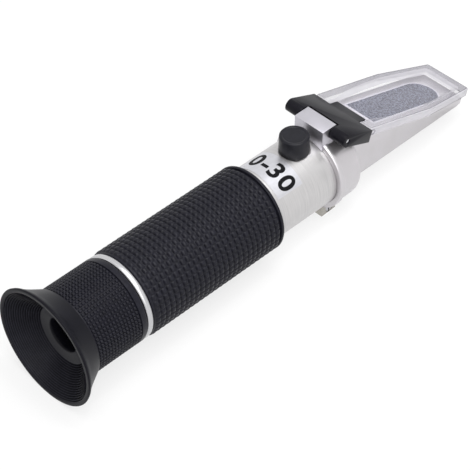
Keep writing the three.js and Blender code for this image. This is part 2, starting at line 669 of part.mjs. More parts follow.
function objectiveMount() {
  const end = OBJECTIVE_START + OBJECTIVE_LENGTH;
  const bore = OBJECTIVE_LENS_RADIUS + SEAT_GAP;
  const start = OBJECTIVE_START;
  const body = ring(start, end, OBJECTIVE_STOP_RADIUS, OBJECTIVE_RADIUS);
  const low = SCREW_PLACE - OBJECTIVE_PAD_LENGTH / 2;
  const high = SCREW_PLACE + OBJECTIVE_PAD_LENGTH / 2;
  const pads = box(low, high, OBJECTIVE_PAD_WIDTH, -OBJECTIVE_PAD_HEIGHT, OBJECTIVE_PAD_HEIGHT);
  const seat = rod(start + OBJECTIVE_STOP_LENGTH, end + CUT_OVERRUN, bore);
  const opening = rod(start - CUT_OVERRUN, end, OBJECTIVE_STOP_RADIUS);
  return cut(join(body, pads), seat, opening);
}

function objectiveCrown() {
  return lens(CROWN_START, CROWN_EDGE, OBJECTIVE_LENS_RADIUS, CROWN_BULGE, CROWN_BULGE);
}

function objectiveFlint() {
  return lens(FLINT_START, FLINT_EDGE, OBJECTIVE_LENS_RADIUS, -CROWN_BULGE, 0);
}

function objectiveRetainer() {
  const inner = OBJECTIVE_LENS_RADIUS - OBJECTIVE_RING_WALL;
  const end = OBJECTIVE_RING_START + OBJECTIVE_RING_LENGTH;
  return ring(OBJECTIVE_RING_START, end, inner, OBJECTIVE_LENS_RADIUS);
}

function screwBush() {
  const flange = BUSH_RADIUS + BUSH_FLANGE_STEP;
  const flangeTop = Math.sqrt(TUBE_BORE ** 2 - flange ** 2) - SEAT_GAP;
  const low = flangeTop - BUSH_FLANGE_LENGTH;
  const bore = SCREW_RADIUS + SEAT_GAP;
  return upright([
    [low, bore],
    [low, flange],
    [flangeTop, flange],
    [flangeTop, BUSH_RADIUS],
    [BUSH_TOP, BUSH_RADIUS],
    [BUSH_TOP, bore],
    [low, bore],
  ], SCREW_PLACE, INNER_SIDES);
}

function calibrationScrew() {
  const body = uprightRod(SCREW_PLACE, OBJECTIVE_PAD_HEIGHT + SCREW_TIP_GAP, SCREW_TOP, SCREW_RADIUS);
  const low = SCREW_PLACE - SCREW_RADIUS - SCREW_SLOT_WIDTH;
  const high = SCREW_PLACE + SCREW_RADIUS + SCREW_SLOT_WIDTH;
  const slot = box(low, high, SCREW_SLOT_WIDTH, SCREW_TOP - SCREW_SLOT_DEPTH, SCREW_TOP + CUT_OVERRUN);
  return cut(body, slot);
}

function calibrationCap() {
  const low = SPOT_FACE_HEIGHT + RUN_GAP;
  const bore = BUSH_RADIUS + RUN_GAP;
  const edgeHeight = CAP_TOP - CAP_EDGE_ROUND;
  const edgeCentre = CAP_TOP_RADIUS - CAP_EDGE_ROUND;
  return upright([
    [CAP_TOP, 0],
    ...quarter(edgeHeight, edgeCentre, CAP_EDGE_ROUND, Math.PI / 2, CORNER_STEPS).reverse(),
    [low, CAP_SKIRT_RADIUS],
    [low, bore],
    [CAP_TOP - CAP_ROOF, bore],
    [CAP_TOP - CAP_ROOF, 0],
  ], SCREW_PLACE, INNER_SIDES);
}

// The clamp screw lies across the lug, just below the tube
const CLAMP_PLACE = LUG_START + LUG_LENGTH / 2 + CLAMP_SETBACK;
const CLAMP_HEIGHT = -(TUBE_RADIUS + RUN_GAP + CLAMP_SCREW_RADIUS + SEAT_GAP);
const CLAMP_HEAD_FACE = -LUG_WIDTH / 2 + SEAT_GAP;
const CLAMP_NUT_FACE = LUG_WIDTH / 2 - SEAT_GAP;

// The skirt with its raised rim and rounded front edge, closed at the front
function skirt() {
  const bandEnd = SKIRT_START + RIM_BAND_WIDTH;
  const bandCentre = RIM_BAND_RADIUS - RIM_BAND_ROUND;
  const frontCentre = SKIRT_RADIUS - SKIRT_FRONT_ROUND;
  const frontStart = SKIRT_END - SKIRT_FRONT_ROUND;
  return turned([
    [SKIRT_START, 0],
    ...quarter(SKIRT_START + RIM_BAND_ROUND, bandCentre, RIM_BAND_ROUND, Math.PI, EDGE_STEPS),
    ...quarter(bandEnd - RIM_BAND_ROUND, bandCentre, RIM_BAND_ROUND, Math.PI / 2, EDGE_STEPS),
    [bandEnd, SKIRT_RADIUS],
    ...quarter(frontStart, frontCentre, SKIRT_FRONT_ROUND, Math.PI / 2, SKIRT_FRONT_STEPS),
    [SKIRT_END, 0],
  ], BARREL_SIDES);
}

function wedge() {
  const root = SKIRT_END - WEDGE_ROOT_DEPTH;
  const outline = [
    [root, -WEDGE_BOTTOM],
    [WEDGE_END, -WEDGE_BOTTOM],
    [WEDGE_END, planeHeightAt(WEDGE_END)],
    [root, planeHeightAt(root)],
  ];
  const body = slab(outline, -WEDGE_WIDTH / 2, WEDGE_WIDTH / 2);
  const plan = roundTipOutline(root - CUT_OVERRUN, WEDGE_END, WEDGE_WIDTH, WEDGE_TIP_ROUND);
  return common(body, plate(plan, -WEDGE_BOTTOM - CUT_OVERRUN, planeHeightAt(root) + CUT_OVERRUN));
}

// A strip outline with its two far corners rounded
function roundTipOutline(start, end, width, round) {
  const half = width / 2;
  const lowCorner = quarter(end - round, half - round, round, Math.PI / 2, CORNER_STEPS);
  const mirrored = lowCorner.map(([x, y]) => [x, -y]).reverse();
  return [[start, -half], [start, half], ...lowCorner, ...mirrored];
}

// The prism's window: straight sides and a half-round tip
function windowOutline(gap) {
  const half = PRISM_WIDTH / 2 + gap;
  const start = SKIRT_END + PRISM_REAR * Math.cos(PLANE_ANGLE) - gap;
  const tip = SKIRT_END + (WEDGE_SLOPE_LENGTH - PRISM_TIP_MARGIN) * Math.cos(PLANE_ANGLE);
  const centre = tip - PRISM_WIDTH / 2;
  const points = [[start, -half]];
  for (let i = 0; i <= PRISM_ARC_STEPS; i += 1) {
    const angle = -Math.PI / 2 + (i / PRISM_ARC_STEPS) * Math.PI;
    points.push([centre + half * Math.cos(angle), half * Math.sin(angle)]);
  }
  points.push([start, half]);
  return points;
}

function prism() {
  const column = plate(windowOutline(0), -PRISM_FLOOR, PLANE_HEIGHT);
  const drop = PLANE_HEIGHT - planeHeightAt(WEDGE_END);
  const above = onPlane(box(0, PLATE_TIP, WEDGE_WIDTH, 0, drop + CUT_OVERRUN));
  return cut(column, above);
}

function prismHousing() {
  const block = box(BLOCK_START, BLOCK_START + BLOCK_LENGTH, BLOCK_WIDTH, 0, BLOCK_TOP);
  const lug = box(LUG_START, LUG_START + LUG_LENGTH, LUG_WIDTH, -LUG_BOTTOM, 0);
  const body = join(skirt(), block, lug, wedge());
  const bore = rod(SKIRT_START - CUT_OVERRUN, TUBE_END + SEAT_GAP, SLEEVE_INNER, BARREL_SIDES);
  const slitLow = SKIRT_START - CUT_OVERRUN;
  const slit = box(slitLow, TUBE_END, LUG_SLIT, -LUG_BOTTOM - CUT_OVERRUN, -TUBE_BORE);
  const half = LUG_WIDTH / 2 + CUT_OVERRUN;
  const clampHole = crossRod(CLAMP_PLACE, CLAMP_HEIGHT, -half, half, CLAMP_SCREW_RADIUS + SEAT_GAP);
  const headEnd = CLAMP_HEAD_FACE + CLAMP_HEAD_LENGTH + SEAT_GAP;
  const headSeat = crossRod(CLAMP_PLACE, CLAMP_HEIGHT, -half, headEnd, CLAMP_HEAD_RADIUS + SEAT_GAP);
  const nutEnd = CLAMP_NUT_FACE - CLAMP_NUT_LENGTH - SEAT_GAP;
  const nutSeat = crossRod(CLAMP_PLACE, CLAMP_HEIGHT, nutEnd, half, CLAMP_NUT_RADIUS + SEAT_GAP);
  const pinHole = crossRod(PIN_PLACE, PIN_HEIGHT, -half, half, PIN_RADIUS + PIVOT_GAP);
  const pocket = plate(windowOutline(SEAT_GAP), -PRISM_FLOOR - SEAT_GAP, PLANE_HEIGHT + CUT_OVERRUN);
  const wayEnd = SKIRT_END + PRISM_REAR * Math.cos(PLANE_ANGLE) + SEAT_GAP;
  const way = rod(TUBE_END - CUT_OVERRUN, wayEnd, LIGHT_WAY_RADIUS).translate(0, 0, LIGHT_WAY_HEIGHT);
  return cut(body, bore, slit, clampHole, headSeat, nutSeat, pinHole, pocket, way);
}

function clampScrew() {
  const headEnd = CLAMP_HEAD_FACE + CLAMP_HEAD_LENGTH;
  const head = crossRod(CLAMP_PLACE, CLAMP_HEIGHT, CLAMP_HEAD_FACE, headEnd, CLAMP_HEAD_RADIUS);
  const shankStart = CLAMP_HEAD_FACE + CLAMP_SLOT_DEPTH;
  const shank = crossRod(CLAMP_PLACE, CLAMP_HEIGHT, shankStart, CLAMP_NUT_FACE, CLAMP_SCREW_RADIUS);
  const reach = CLAMP_HEAD_RADIUS + CLAMP_HEAD_SLOT;
  const slotBox = new THREE.BoxGeometry(CLAMP_HEAD_SLOT, 2 * CLAMP_SLOT_DEPTH, 2 * reach);
  const slot = slotBox.translate(CLAMP_PLACE, CLAMP_HEAD_FACE, CLAMP_HEIGHT);
  return cut(join(head, shank), slot);
}

function clampNut() {
  const start = CLAMP_NUT_FACE - CLAMP_NUT_LENGTH;
  const body = crossRod(CLAMP_PLACE, CLAMP_HEIGHT, start, CLAMP_NUT_FACE, CLAMP_NUT_RADIUS, NUT_SIDES);
  const bore = CLAMP_SCREW_RADIUS + SEAT_GAP;
  return cut(body, crossRod(CLAMP_PLACE, CLAMP_HEIGHT, start - CUT_OVERRUN, LUG_WIDTH, bore));
}

function hingePin() {
  const end = FRAME_WIDTH / 2 - PIN_END_RECESS;
  return crossRod(PIN_PLACE, PIN_HEIGHT, -end, end, PIN_RADIUS);
}

// A slab drawn in the hinge frame's own slope, with the pin's axis at its origin
function frameSlab(low, high, start, end, width) {
  const body = box(start, end, width, low, high).rotateY(FRAME_ANGLE);
  return body.translate(PIN_PLACE, 0, PIN_HEIGHT);
}

function frameCheek() {
  const outline = [
    [0, -FRAME_CHEEK_BOTTOM],
    [FRAME_LENGTH + FRAME_CHEEK_RAKE, -FRAME_CHEEK_BOTTOM],
    [FRAME_LENGTH, FRAME_KNUCKLE_RADIUS],
    [0, FRAME_KNUCKLE_RADIUS],
  ];
  const body = slab(outline, -FRAME_WIDTH / 2, FRAME_WIDTH / 2).rotateY(FRAME_ANGLE);
  return body.translate(PIN_PLACE, 0, PIN_HEIGHT);
}

function hingeFrame() {
  const half = FRAME_WIDTH / 2;
  const knuckle = crossRod(PIN_PLACE, PIN_HEIGHT, -half, half, FRAME_KNUCKLE_RADIUS, INNER_SIDES);
  const inner = FRAME_WIDTH - 2 * FRAME_CHEEK_WIDTH;
  const under = frameSlab(-FRAME_LENGTH, -FRAME_BAR_BOTTOM, 0, 2 * FRAME_LENGTH, inner);
  const cheeks = cut(frameCheek(), under);
  const floor = PLATE_TOP_OFFSET - PLATE_RECESS + SEAT_GAP;
  const tongueEnd = PLATE_REAR + TONGUE_REACH;
  const tongueBox = box(PLATE_REAR - TONGUE_ROOT, tongueEnd, 2 * TONGUE_HALF, floor, floor + TONGUE_RISE);
  const tongue = onPlane(tongueBox);
  const body = join(knuckle, cheeks, tongue);
  const blockGap = BLOCK_WIDTH / 2 + RUN_GAP;
  const sweepRadius = Math.hypot(PIN_SETBACK, PIN_DEPTH) + FRAME_SWEEP_GAP;
  const sweep = crossRod(PIN_PLACE, PIN_HEIGHT, -blockGap, blockGap, sweepRadius, INNER_SIDES);
  const bore = crossRod(PIN_PLACE, PIN_HEIGHT, -FRAME_WIDTH, FRAME_WIDTH, PIN_RADIUS + PIVOT_GAP);
  return cut(body, sweep, bore);
}

// An outline on the measuring plane that widens to the kink and then narrows to the tip
function plateOutline(start, startHalf, kinkHalf, end, endHalf) {
  const far = [
    [start, startHalf],
    [PLATE_KINK, kinkHalf],
    [end - PLATE_CORNER, endHalf],
    [end, endHalf - PLATE_CORNER],
  ];
  const near = far.map(([x, y]) => [x, -y]).reverse();
  return [...far, ...near];
}

// The recess leaves room for the tongue at the rear, then widens in a curve up to the kink
function recessOutline(rearHalf, kinkHalf, end, tipHalf) {
  const throat = PLATE_REAR + TONGUE_REACH + RECESS_THROAT_MARGIN;
  const far = [[PLATE_REAR - CUT_OVERRUN, rearHalf]];
  for (let i = 0; i <= RECESS_STEPS; i += 1) {
    const share = i / RECESS_STEPS;
    const rise = Math.sin((share * Math.PI) / 2);
    far.push([throat + (PLATE_KINK - throat) * share, rearHalf + (kinkHalf - rearHalf) * rise]);
  }
  far.push([end - PLATE_CORNER, tipHalf], [end, tipHalf - PLATE_CORNER]);
  const near = far.map(([x, y]) => [x, -y]);
  return [...near, ...far.reverse()];
}

function daylightPlate() {
  const outer = plateOutline(PLATE_REAR, PLATE_REAR_HALF, PLATE_KINK_HALF, PLATE_TIP, PLATE_TIP_HALF);
  const body = plate(outer, SAMPLE_GAP, PLATE_TOP_OFFSET);
  const rearHalf = PLATE_REAR_HALF - RECESS_REAR_BORDER;
  const kinkHalf = PLATE_KINK_HALF - RECESS_KINK_BORDER;
  const tipHalf = PLATE_TIP_HALF - RECESS_SIDE_BORDER;
  const tip = PLATE_TIP - RECESS_TIP_BORDER;
  const slope = RECESS_WALL_SLOPE;
  const mouth = recessOutline(rearHalf, kinkHalf, tip, tipHalf);
  const foot = recessOutline(rearHalf - RECESS_REAR_SLOPE, kinkHalf - slope, tip - slope, tipHalf - slope);
  const walls = between(foot, PLATE_TOP_OFFSET - PLATE_RECESS, mouth, PLATE_TOP_OFFSET);
  const open = plate(mouth, PLATE_TOP_OFFSET, PLATE_TOP_OFFSET + CUT_OVERRUN);
  return onPlane(cut(body, join(walls, open)));
}

// Surface finishes
function finish(color, roughness, metalness, opacity = 1) {
  const transparent = opacity < 1;
  return new THREE.MeshStandardMaterial({ color, roughness, metalness, opacity, transparent });
}

const SOFT_BLACK = finish(0x2b2b30, 0.75, 0);
const CUP_RUBBER = finish(0x3a3a3d, 0.6, 0);
const BLACK_PLASTIC = finish(0x4a494c, 0.4, 0);
const BLACK_ANODISED = finish(0x1c1c1e, 0.55, 0.6);
const SATIN_SILVER = finish(0xc9c5c3, 0.38, 0.85);
const POLISHED = finish(0xe4e4e6, 0.12, 1);
const STEEL = finish(0xb8b8ba, 0.25, 1);
const BRASS = finish(0xb5975a, 0.35, 1);
const GLASS = finish(0xe6ecef, 0.05, 0, 0.35);
const PRISM_GLASS = finish(0x9698a3, 0.3, 0);
const CLEAR_ACRYLIC = finish(0xdcdbe0, 0.1, 0, 0.4);

const PIECES = [
  ['eyecup', eyecup(), CUP_RUBBER],
  ['focus_sleeve', focusSleeve(), SOFT_BLACK],
  ['focus_core', focusCore(), BLACK_ANODISED],
  ['eyepiece_cell', eyepieceCell(), BLACK_ANODISED],
  ['eyepiece_retainer', eyepieceRetainer(), BLACK_ANODISED],
  ['eye_lens', eyeLens(), GLASS],
  ['lens_spacer', lensSpacer(), BLACK_ANODISED],
  ['field_lens', fieldLens(), GLASS],
  ['collar_ring', collarRing(), POLISHED],
  ['grip_sleeve', gripSleeve(), SOFT_BLACK],
  ['main_tube', mainTube(), SATIN_SILVER],
  ['reticle_cell', reticleCell(), BLACK_ANODISED],
  ['reticle', reticle(), GLASS],
  ['reticle_retainer', reticleRetainer(), BLACK_ANODISED],
  ['light_baffle', lightBaffle(), BLACK_ANODISED],
  ['strip_block', stripBlock(), BRASS],
  ...STRIP_SCREW_PLACES.map((place, i) => [`strip_screw_${i + 1}`, stripScrew(place), STEEL]),
  ['bimetal_strip', bimetalStrip(), BRASS],
  ['objective_mount', objectiveMount(), BLACK_ANODISED],
  ['objective_crown', objectiveCrown(), GLASS],
  ['objective_flint', objectiveFlint(), GLASS],
  ['objective_retainer', objectiveRetainer(), BLACK_ANODISED],
  ['screw_bush', screwBush(), BRASS],
  ['calibration_screw', calibrationScrew(), BRASS],
  ['calibration_cap', calibrationCap(), CUP_RUBBER],
  ['prism_housing', prismHousing(), SATIN_SILVER],
  ['prism', prism(), PRISM_GLASS],
  ['clamp_screw', clampScrew(), STEEL],
  ['clamp_nut', clampNut(), STEEL],
  ['hinge_pin', hingePin(), STEEL],
  ['hinge_frame', hingeFrame(), BLACK_PLASTIC],
  ['daylight_plate', daylightPlate(), CLEAR_ACRYLIC],
];

const refractometer = new THREE.Group();
for (const [name, geometry, material] of PIECES) {
  const mesh = new THREE.Mesh(geometry, material);
  mesh.name = name;
  refractometer.add(mesh);
}
refractometer.position.x = -TOTAL_LENGTH / 2;

export default refractometer;
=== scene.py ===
# %% [markdown]
# # A hand-held refractometer
# The instrument reads how much sugar is in a drop of juice. A drop goes on a sloping glass prism, a clear
# plate folds down over it, and the scale is read through the eyepiece at the other end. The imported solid
# model is loaded first, as a fixed frame: it gives every piece its place, in metres, with X along the
# optical axis, Z up, and the eyecup at the -X end.

# %% Load the frame
import json
import math
import bmesh
import bpy
from mathutils import Matrix, Vector


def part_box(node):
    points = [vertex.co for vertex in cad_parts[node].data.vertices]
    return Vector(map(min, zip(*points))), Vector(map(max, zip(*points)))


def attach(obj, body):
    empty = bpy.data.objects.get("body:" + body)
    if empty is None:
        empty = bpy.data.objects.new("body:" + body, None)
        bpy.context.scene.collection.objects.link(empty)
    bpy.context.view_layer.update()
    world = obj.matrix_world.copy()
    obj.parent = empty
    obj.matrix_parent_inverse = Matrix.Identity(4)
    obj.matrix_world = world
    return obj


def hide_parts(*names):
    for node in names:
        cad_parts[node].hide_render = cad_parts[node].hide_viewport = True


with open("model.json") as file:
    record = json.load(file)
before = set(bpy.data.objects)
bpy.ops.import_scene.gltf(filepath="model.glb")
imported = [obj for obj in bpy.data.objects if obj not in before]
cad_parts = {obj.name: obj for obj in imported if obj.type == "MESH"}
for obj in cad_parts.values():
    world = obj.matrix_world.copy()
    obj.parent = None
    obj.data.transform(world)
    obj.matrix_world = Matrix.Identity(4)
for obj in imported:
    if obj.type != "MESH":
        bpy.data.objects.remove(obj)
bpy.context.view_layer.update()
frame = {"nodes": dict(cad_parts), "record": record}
nodes = frame["nodes"]
scene = bpy.context.scene
MM = 0.001


def in_scene(name, data):
    """A new object, linked into the scene."""
    made = bpy.data.objects.new(name, data)
    scene.collection.objects.link(made)
    return made


# %% [markdown]
# ## The camera
# The photograph looks down on the instrument from the eyecup's end. Its place was worked out from the
# round rims, which show as ellipses, and from the two ends of the body. A long lens keeps the barrel from
# tapering too much. The camera has no shift and no blur, so that every other view is simply another place.

# %% Camera
aim = Vector((-11.33, -0.12, -6.88)) * MM
towards_camera = Vector((-0.5045, -0.5116, 0.6955)).normalized()
camera_distance = 590
camera = in_scene("camera", bpy.data.cameras.new("camera"))
camera.location = aim + towards_camera * camera_distance * MM
camera.rotation_mode = "QUATERNION"
camera.rotation_quaternion = towards_camera.to_track_quat("Z", "Y")
camera.data.lens = 148.04
camera.data.sensor_width = 36
camera.data.clip_start = 10 * MM
camera.data.clip_end = 20
scene.camera = camera
scene.view_settings.view_transform = "Standard"
print("camera at", [round(part, 3) for part in camera.location])

# %% [markdown]
# ## Sums on a surface
# A procedural finish is a sum of noises, masks and colours. Written as nodes it is hard to read, so a
# small class wraps a socket and lets ordinary arithmetic build the Math nodes.


# %% A value on a surface
class Value:
    """A node's output, which can stand in a sum such as 1 - mask."""

    def __init__(self, board, socket):
        self.board = board
        self.socket = socket

    def sum(self, operation, first, second):
        return self.board.node("ShaderNodeMath", {"operation": operation}, {0: first, 1: second})

    def __add__(self, other):
        return self.sum("ADD", self, other)

    def __radd__(self, other):
        return self.sum("ADD", other, self)

    def __sub__(self, other):
        return self.sum("SUBTRACT", self, other)

    def __rsub__(self, other):
        return self.sum("SUBTRACT", other, self)

    def __mul__(self, other):
        return self.sum("MULTIPLY", self, other)

    def __rmul__(self, other):
        return self.sum("MULTIPLY", other, self)

    def __pow__(self, other):
        return self.sum("POWER", self, other)


print("a value on a surface can now stand in a sum")

# %% [markdown]
# The nodes themselves come from one method, which takes a node's type, its settings, and the values or
# links of its sockets. Colours and vectors don't go through Math nodes, which would turn them grey: they
# use Mix and Vector Math, through that same method.


# %% A board of nodes
class Board:
    """A tree of nodes, filled by one method."""

    def __init__(self, tree):
        self.tree = tree
        self.tree.nodes.clear()

    def node(self, kind, settings=None, values=None, output=0):
        made = self.tree.nodes.new(kind)
        for key, setting in (settings or {}).items():
            if key == "stops":
                self.set_stops(made.color_ramp, setting)
            else:
                setattr(made, key, setting)
        for key, value in (values or {}).items():
            if isinstance(value, Value):
                self.tree.links.new(value.socket, made.inputs[key])
            else:
                made.inputs[key].default_value = value
        return Value(self, made.outputs[output]) if len(made.outputs) else made

    def set_stops(self, ramp, stops):
        while len(ramp.elements) < len(stops):
            ramp.elements.new(1)
        for element, (place, colour) in zip(ramp.elements, stops):
            element.position = place
            element.color = colour

    def larger(self, first, second):
        return self.node("ShaderNodeMath", {"operation": "MAXIMUM"}, {0: first, 1: second})

    def watched(self):
        """1 where the camera, a glossy surface or glass looks, and 0 for the light that falls on things."""
        kinds = ("Camera", "Glossy", "Transmission")
        looks = [self.node("ShaderNodeLightPath", output=f"Is {kind} Ray") for kind in kinds]
        return self.larger(self.larger(looks[0], looks[1]), looks[2])


print("a board can fill a material or the world")

# %% [markdown]
# A finish is one material. The same few things come up in each: a noise that is measured on the piece, a
# colour between two, a bump, and the shader at the end. A grain can be drawn out by stretching the place at
# which its noise is read.


# %% A finish
class Finish(Board):
    """One procedural material: its nodes, and the shader that they feed."""

    def __init__(self, name):
        self.material = bpy.data.materials.new(name)
        self.material.use_nodes = True
        super().__init__(self.material.node_tree)

    def place(self, stretch=(1, 1, 1)):
        """Where a point lies on the piece, in metres, stretched so that a grain can be longer one way."""
        at = self.node("ShaderNodeTexCoord", output="Object")
        return self.node("ShaderNodeVectorMath", {"operation": "MULTIPLY"}, {0: at, 1: stretch})

    def noise(self, per_metre, detail, stretch=(1, 1, 1)):
        values = {"Vector": self.place(stretch), "Scale": per_metre, "Detail": detail}
        return self.node("ShaderNodeTexNoise", values=values)

    def between(self, low, high, share):
        """A colour between two, by a share from 0 to 1."""
        settings = {"data_type": "RGBA", "clamp_factor": True}
        return self.node("ShaderNodeMix", settings, {0: share, 6: low, 7: high}, output=2)

    def bump(self, height, depth, strength):
        """A bump whose depth is in mm."""
        values = {"Height": height, "Distance": depth * MM, "Strength": strength}
        return self.node("ShaderNodeBump", values=values)

    def shade(self, **values):
        """Ends the finish in one Principled shader; a name such as Base_Color stands for its socket."""
        sockets = {key.replace("_", " "): value for key, value in values.items()}
        shader = self.node("ShaderNodeBsdfPrincipled", values=sockets)
        self.node("ShaderNodeOutputMaterial", values={"Surface": shader})


def srgb(code):
    """The linear colour of a code such as c9c5c3."""
    parts = [int(code[i:i + 2], 16) / 255 for i in (0, 2, 4)]
    return (*[part / 12.92 if part < 0.04045 else ((part + 0.055) / 1.055) ** 2.4 for part in parts], 1)


print("mid grey is", round(srgb("808080")[0], 3), "in linear light")

# %% [markdown]
# ## Light, backdrop and floor
# The light is that of a small studio: one broad lamp above, a weaker one low on the near side, and a small
# one that puts a bright edge on metal, among pale surroundings. The backdrop is white only where the
# camera, a glossy surface or glass looks at it, so that it doesn't add light to the object.

# %% World and lamps
WHITE = (1, 1, 1, 1)
pale_surroundings = 0.5

world = bpy.data.worlds.new("studio")
scene.world = world
world.use_nodes = True
sky = Board(world.node_tree)
sky_strength = pale_surroundings + (1 - pale_surroundings) * sky.watched()
backdrop = sky.node("ShaderNodeBackground", values={"Color": WHITE, "Strength": sky_strength})
sky.node("ShaderNodeOutputWorld", values={"Surface": backdrop})


def lamp(name, place, size, watts):
    """A square area lamp that looks at the middle of the instrument."""
    light = bpy.data.lights.new(name, "AREA")
    light.size = size
    light.energy = watts
    holder = in_scene(name, light)
    holder.location = place
    holder.rotation_mode = "QUATERNION"
    holder.rotation_quaternion = (holder.location - aim).to_track_quat("Z", "Y")
    print(name, "gives", watts, "watts")


lamp("key_lamp", place=(-0.05, -0.25, 0.9), size=0.8, watts=7.5)
lamp("side_lamp", place=(-0.25, -0.75, 0.5), size=0.7, watts=2.2)
lamp("spark_lamp", place=(0.05, -0.135, 0.9), size=0.07, watts=0.7)

# %% [markdown]
# The floor lies through the two places on which the real instrument comes to rest, the eyecup's rim and
# the foot of the clamp. It is paper that glows for whoever looks at it: the glow makes it white without
# lighting the object, and the paper keeps a trace of the shadow.

# %% Floor
floor_glow = 0.75
floor_reach = 4

floor_finish = Finish("floor_white")
paper = floor_finish.node("ShaderNodeBsdfDiffuse", values={"Color": (0.9, 0.9, 0.9, 1)})
glow = floor_finish.node("ShaderNodeEmission", values={"Color": WHITE, "Strength": 1})
glow_share = floor_finish.watched() * floor_glow
mixed = floor_finish.node("ShaderNodeMixShader", values={0: glow_share, 1: paper, 2: glow})
floor_finish.node("ShaderNodeOutputMaterial", values={"Surface": mixed})

cup_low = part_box("eyecup")[0]
foot_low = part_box("prism_housing")[0]
rise = foot_low.z - cup_low.z
run = foot_low.x - cup_low.x
corners = [(-floor_reach, -floor_reach), (floor_reach, -floor_reach),
           (floor_reach, floor_reach), (-floor_reach, floor_reach)]
floor_points = [(x, y, cup_low.z + (x - cup_low.x) * rise / run) for x, y in corners]
floor_mesh = bpy.data.meshes.new("floor")
floor_mesh.from_pydata(floor_points, [], [(0, 1, 2, 3)])
floor_mesh.materials.append(floor_finish.material)
floor = in_scene("floor", floor_mesh)
print("floor rises by", round(math.degrees(math.atan2(rise, run)), 2), "degrees towards the prism")

# %% [markdown]
# ## Finishes
# Each finish starts from the colour the photograph shows and gets what breaks a flat colour up on the real
# thing: dust and grain in rubber, a fine mould texture on plastic, turning marks on metal, the grain of
# ground glass. Rubber and plastic come out of a mould, so one function makes them: cloudy patches vary the
# colour and the roughness, and a much finer grain is a bump.


# %% Rubber and plastic
def moulded(name, low, high, *, patches, grains, roughness, spread, gloss, depth, strength):
    """Rubber or plastic between two colours, with so many patches and grains to a metre."""
    finish = Finish(name)
    cloud = finish.noise(patches, 3)
    grain = finish.noise(grains, 2)
    finish.shade(
        Base_Color=finish.between(srgb(low), srgb(high), cloud),
        Roughness=roughness + spread * cloud,
        Specular_IOR_Level=gloss,
        Normal=finish.bump(grain, depth, strength),
    )
    return finish


grip_rubber = moulded(
    "grip_rubber", "0d0d12", "20202a", patches=900, grains=6000,
    roughness=0.3, spread=0.2, gloss=0.16, depth=0.03, strength=0.6,
)
cup_rubber = moulded(
    "cup_rubber", "0b0b10", "17171e", patches=260, grains=5200,
    roughness=0.3, spread=0.14, gloss=0.09, depth=0.02, strength=0.5,
)
cap_rubber = moulded(
    "cap_rubber", "111116", "1f1f26", patches=500, grains=4200,
    roughness=0.3, spread=0.14, gloss=0.2, depth=0.03, strength=0.6,
)
black_plastic = moulded(
    "black_plastic", "0d0c12", "17161d", patches=400, grains=3800,
    roughness=0.26, spread=0.1, gloss=0.12, depth=0.012, strength=0.5,
)
print("rubber and plastic finishes made")

# %% [markdown]
# Turned metal carries fine rings round its axis, so its noise is squeezed hard along X and drawn out
# across it. Cast and blasted metal has an even grain instead. Bright metal keeps only a trace of either.


# %% Metals
def turned_metal(name, low, high, roughness, marks, metallic=1.0):
    """Metal turned on a lathe, with rings round X and marks so many mm deep."""
    finish = Finish(name)
    rings = finish.noise(1000, 2, (6, 0.12, 0.12))
    cloud = finish.noise(120, 3)
    finish.shade(
        Base_Color=finish.between(srgb(low), srgb(high), 1.6 * rings + 0.5 * cloud - 0.55),
        Metallic=metallic,
        Roughness=roughness + 0.24 * (rings - 0.5),
        Normal=finish.bump(rings, marks, 0.5),
    )
    return finish


def cast_metal(name, low, high, roughness, pits, metallic):
    """Cast metal, blasted to an even grain with pits so many mm deep."""
    finish = Finish(name)
    grain = finish.noise(3200, 3)
    cloud = finish.noise(150, 3)
    finish.shade(
        Base_Color=finish.between(srgb(low), srgb(high), cloud),
        Metallic=metallic,
        Roughness=roughness + 0.16 * (cloud - 0.5),
        Normal=finish.bump(grain, pits, 0.5),
    )
    return finish


satin_tube = turned_metal("satin_tube", "b6b5b6", "d0cece", roughness=0.36, marks=0.025, metallic=0.9)
polished_metal = turned_metal("polished_metal", "b6b6b9", "d2d2d3", roughness=0.31, marks=0.01)
steel = turned_metal("steel", "a8a8ac", "c6c6ca", roughness=0.2, marks=0.008)
brass = turned_metal("brass", "b39250", "c8a964", roughness=0.3, marks=0.01)
black_anodised = turned_metal("black_anodised", "242427", "323236", roughness=0.34, marks=0.01, metallic=0.6)
satin_cast = cast_metal("satin_cast", "bfbcbe", "d2cfd3", roughness=0.36, pits=0.02, metallic=0.9)
milled_cast = cast_metal("milled_cast", "b8b6bd", "c8c6cd", roughness=0.38, pits=0.01, metallic=0.92)
pale_cast = cast_metal("pale_cast", "d0cdd2", "e0dde1", roughness=0.42, pits=0.01, metallic=0.8)
lug_painted_shade = cast_metal("lug_painted_shade", "9b9892", "b9b6af", roughness=0.26, pits=0.03, metallic=0.92)
print("metal finishes made")

# %% [markdown]
# The lenses bend light, so they get a shader that lets light through. The plate's acrylic is simpler: it
# lets light straight on, behind a haze that stands for what the moulding scatters. The haze thickens
# towards the tip and where a face turns away, and each kind of face on the plate has its own.

# %% Lenses and acrylic
lens_glass = Finish("lens_glass")
lens_glass.shade(
    Base_Color=(0.93, 0.96, 0.95, 1),
    Roughness=0.02 + 0.03 * lens_glass.noise(300, 2),
    Transmission_Weight=1,
    IOR=1.52,
)
haze_from = 45
haze_to = 58


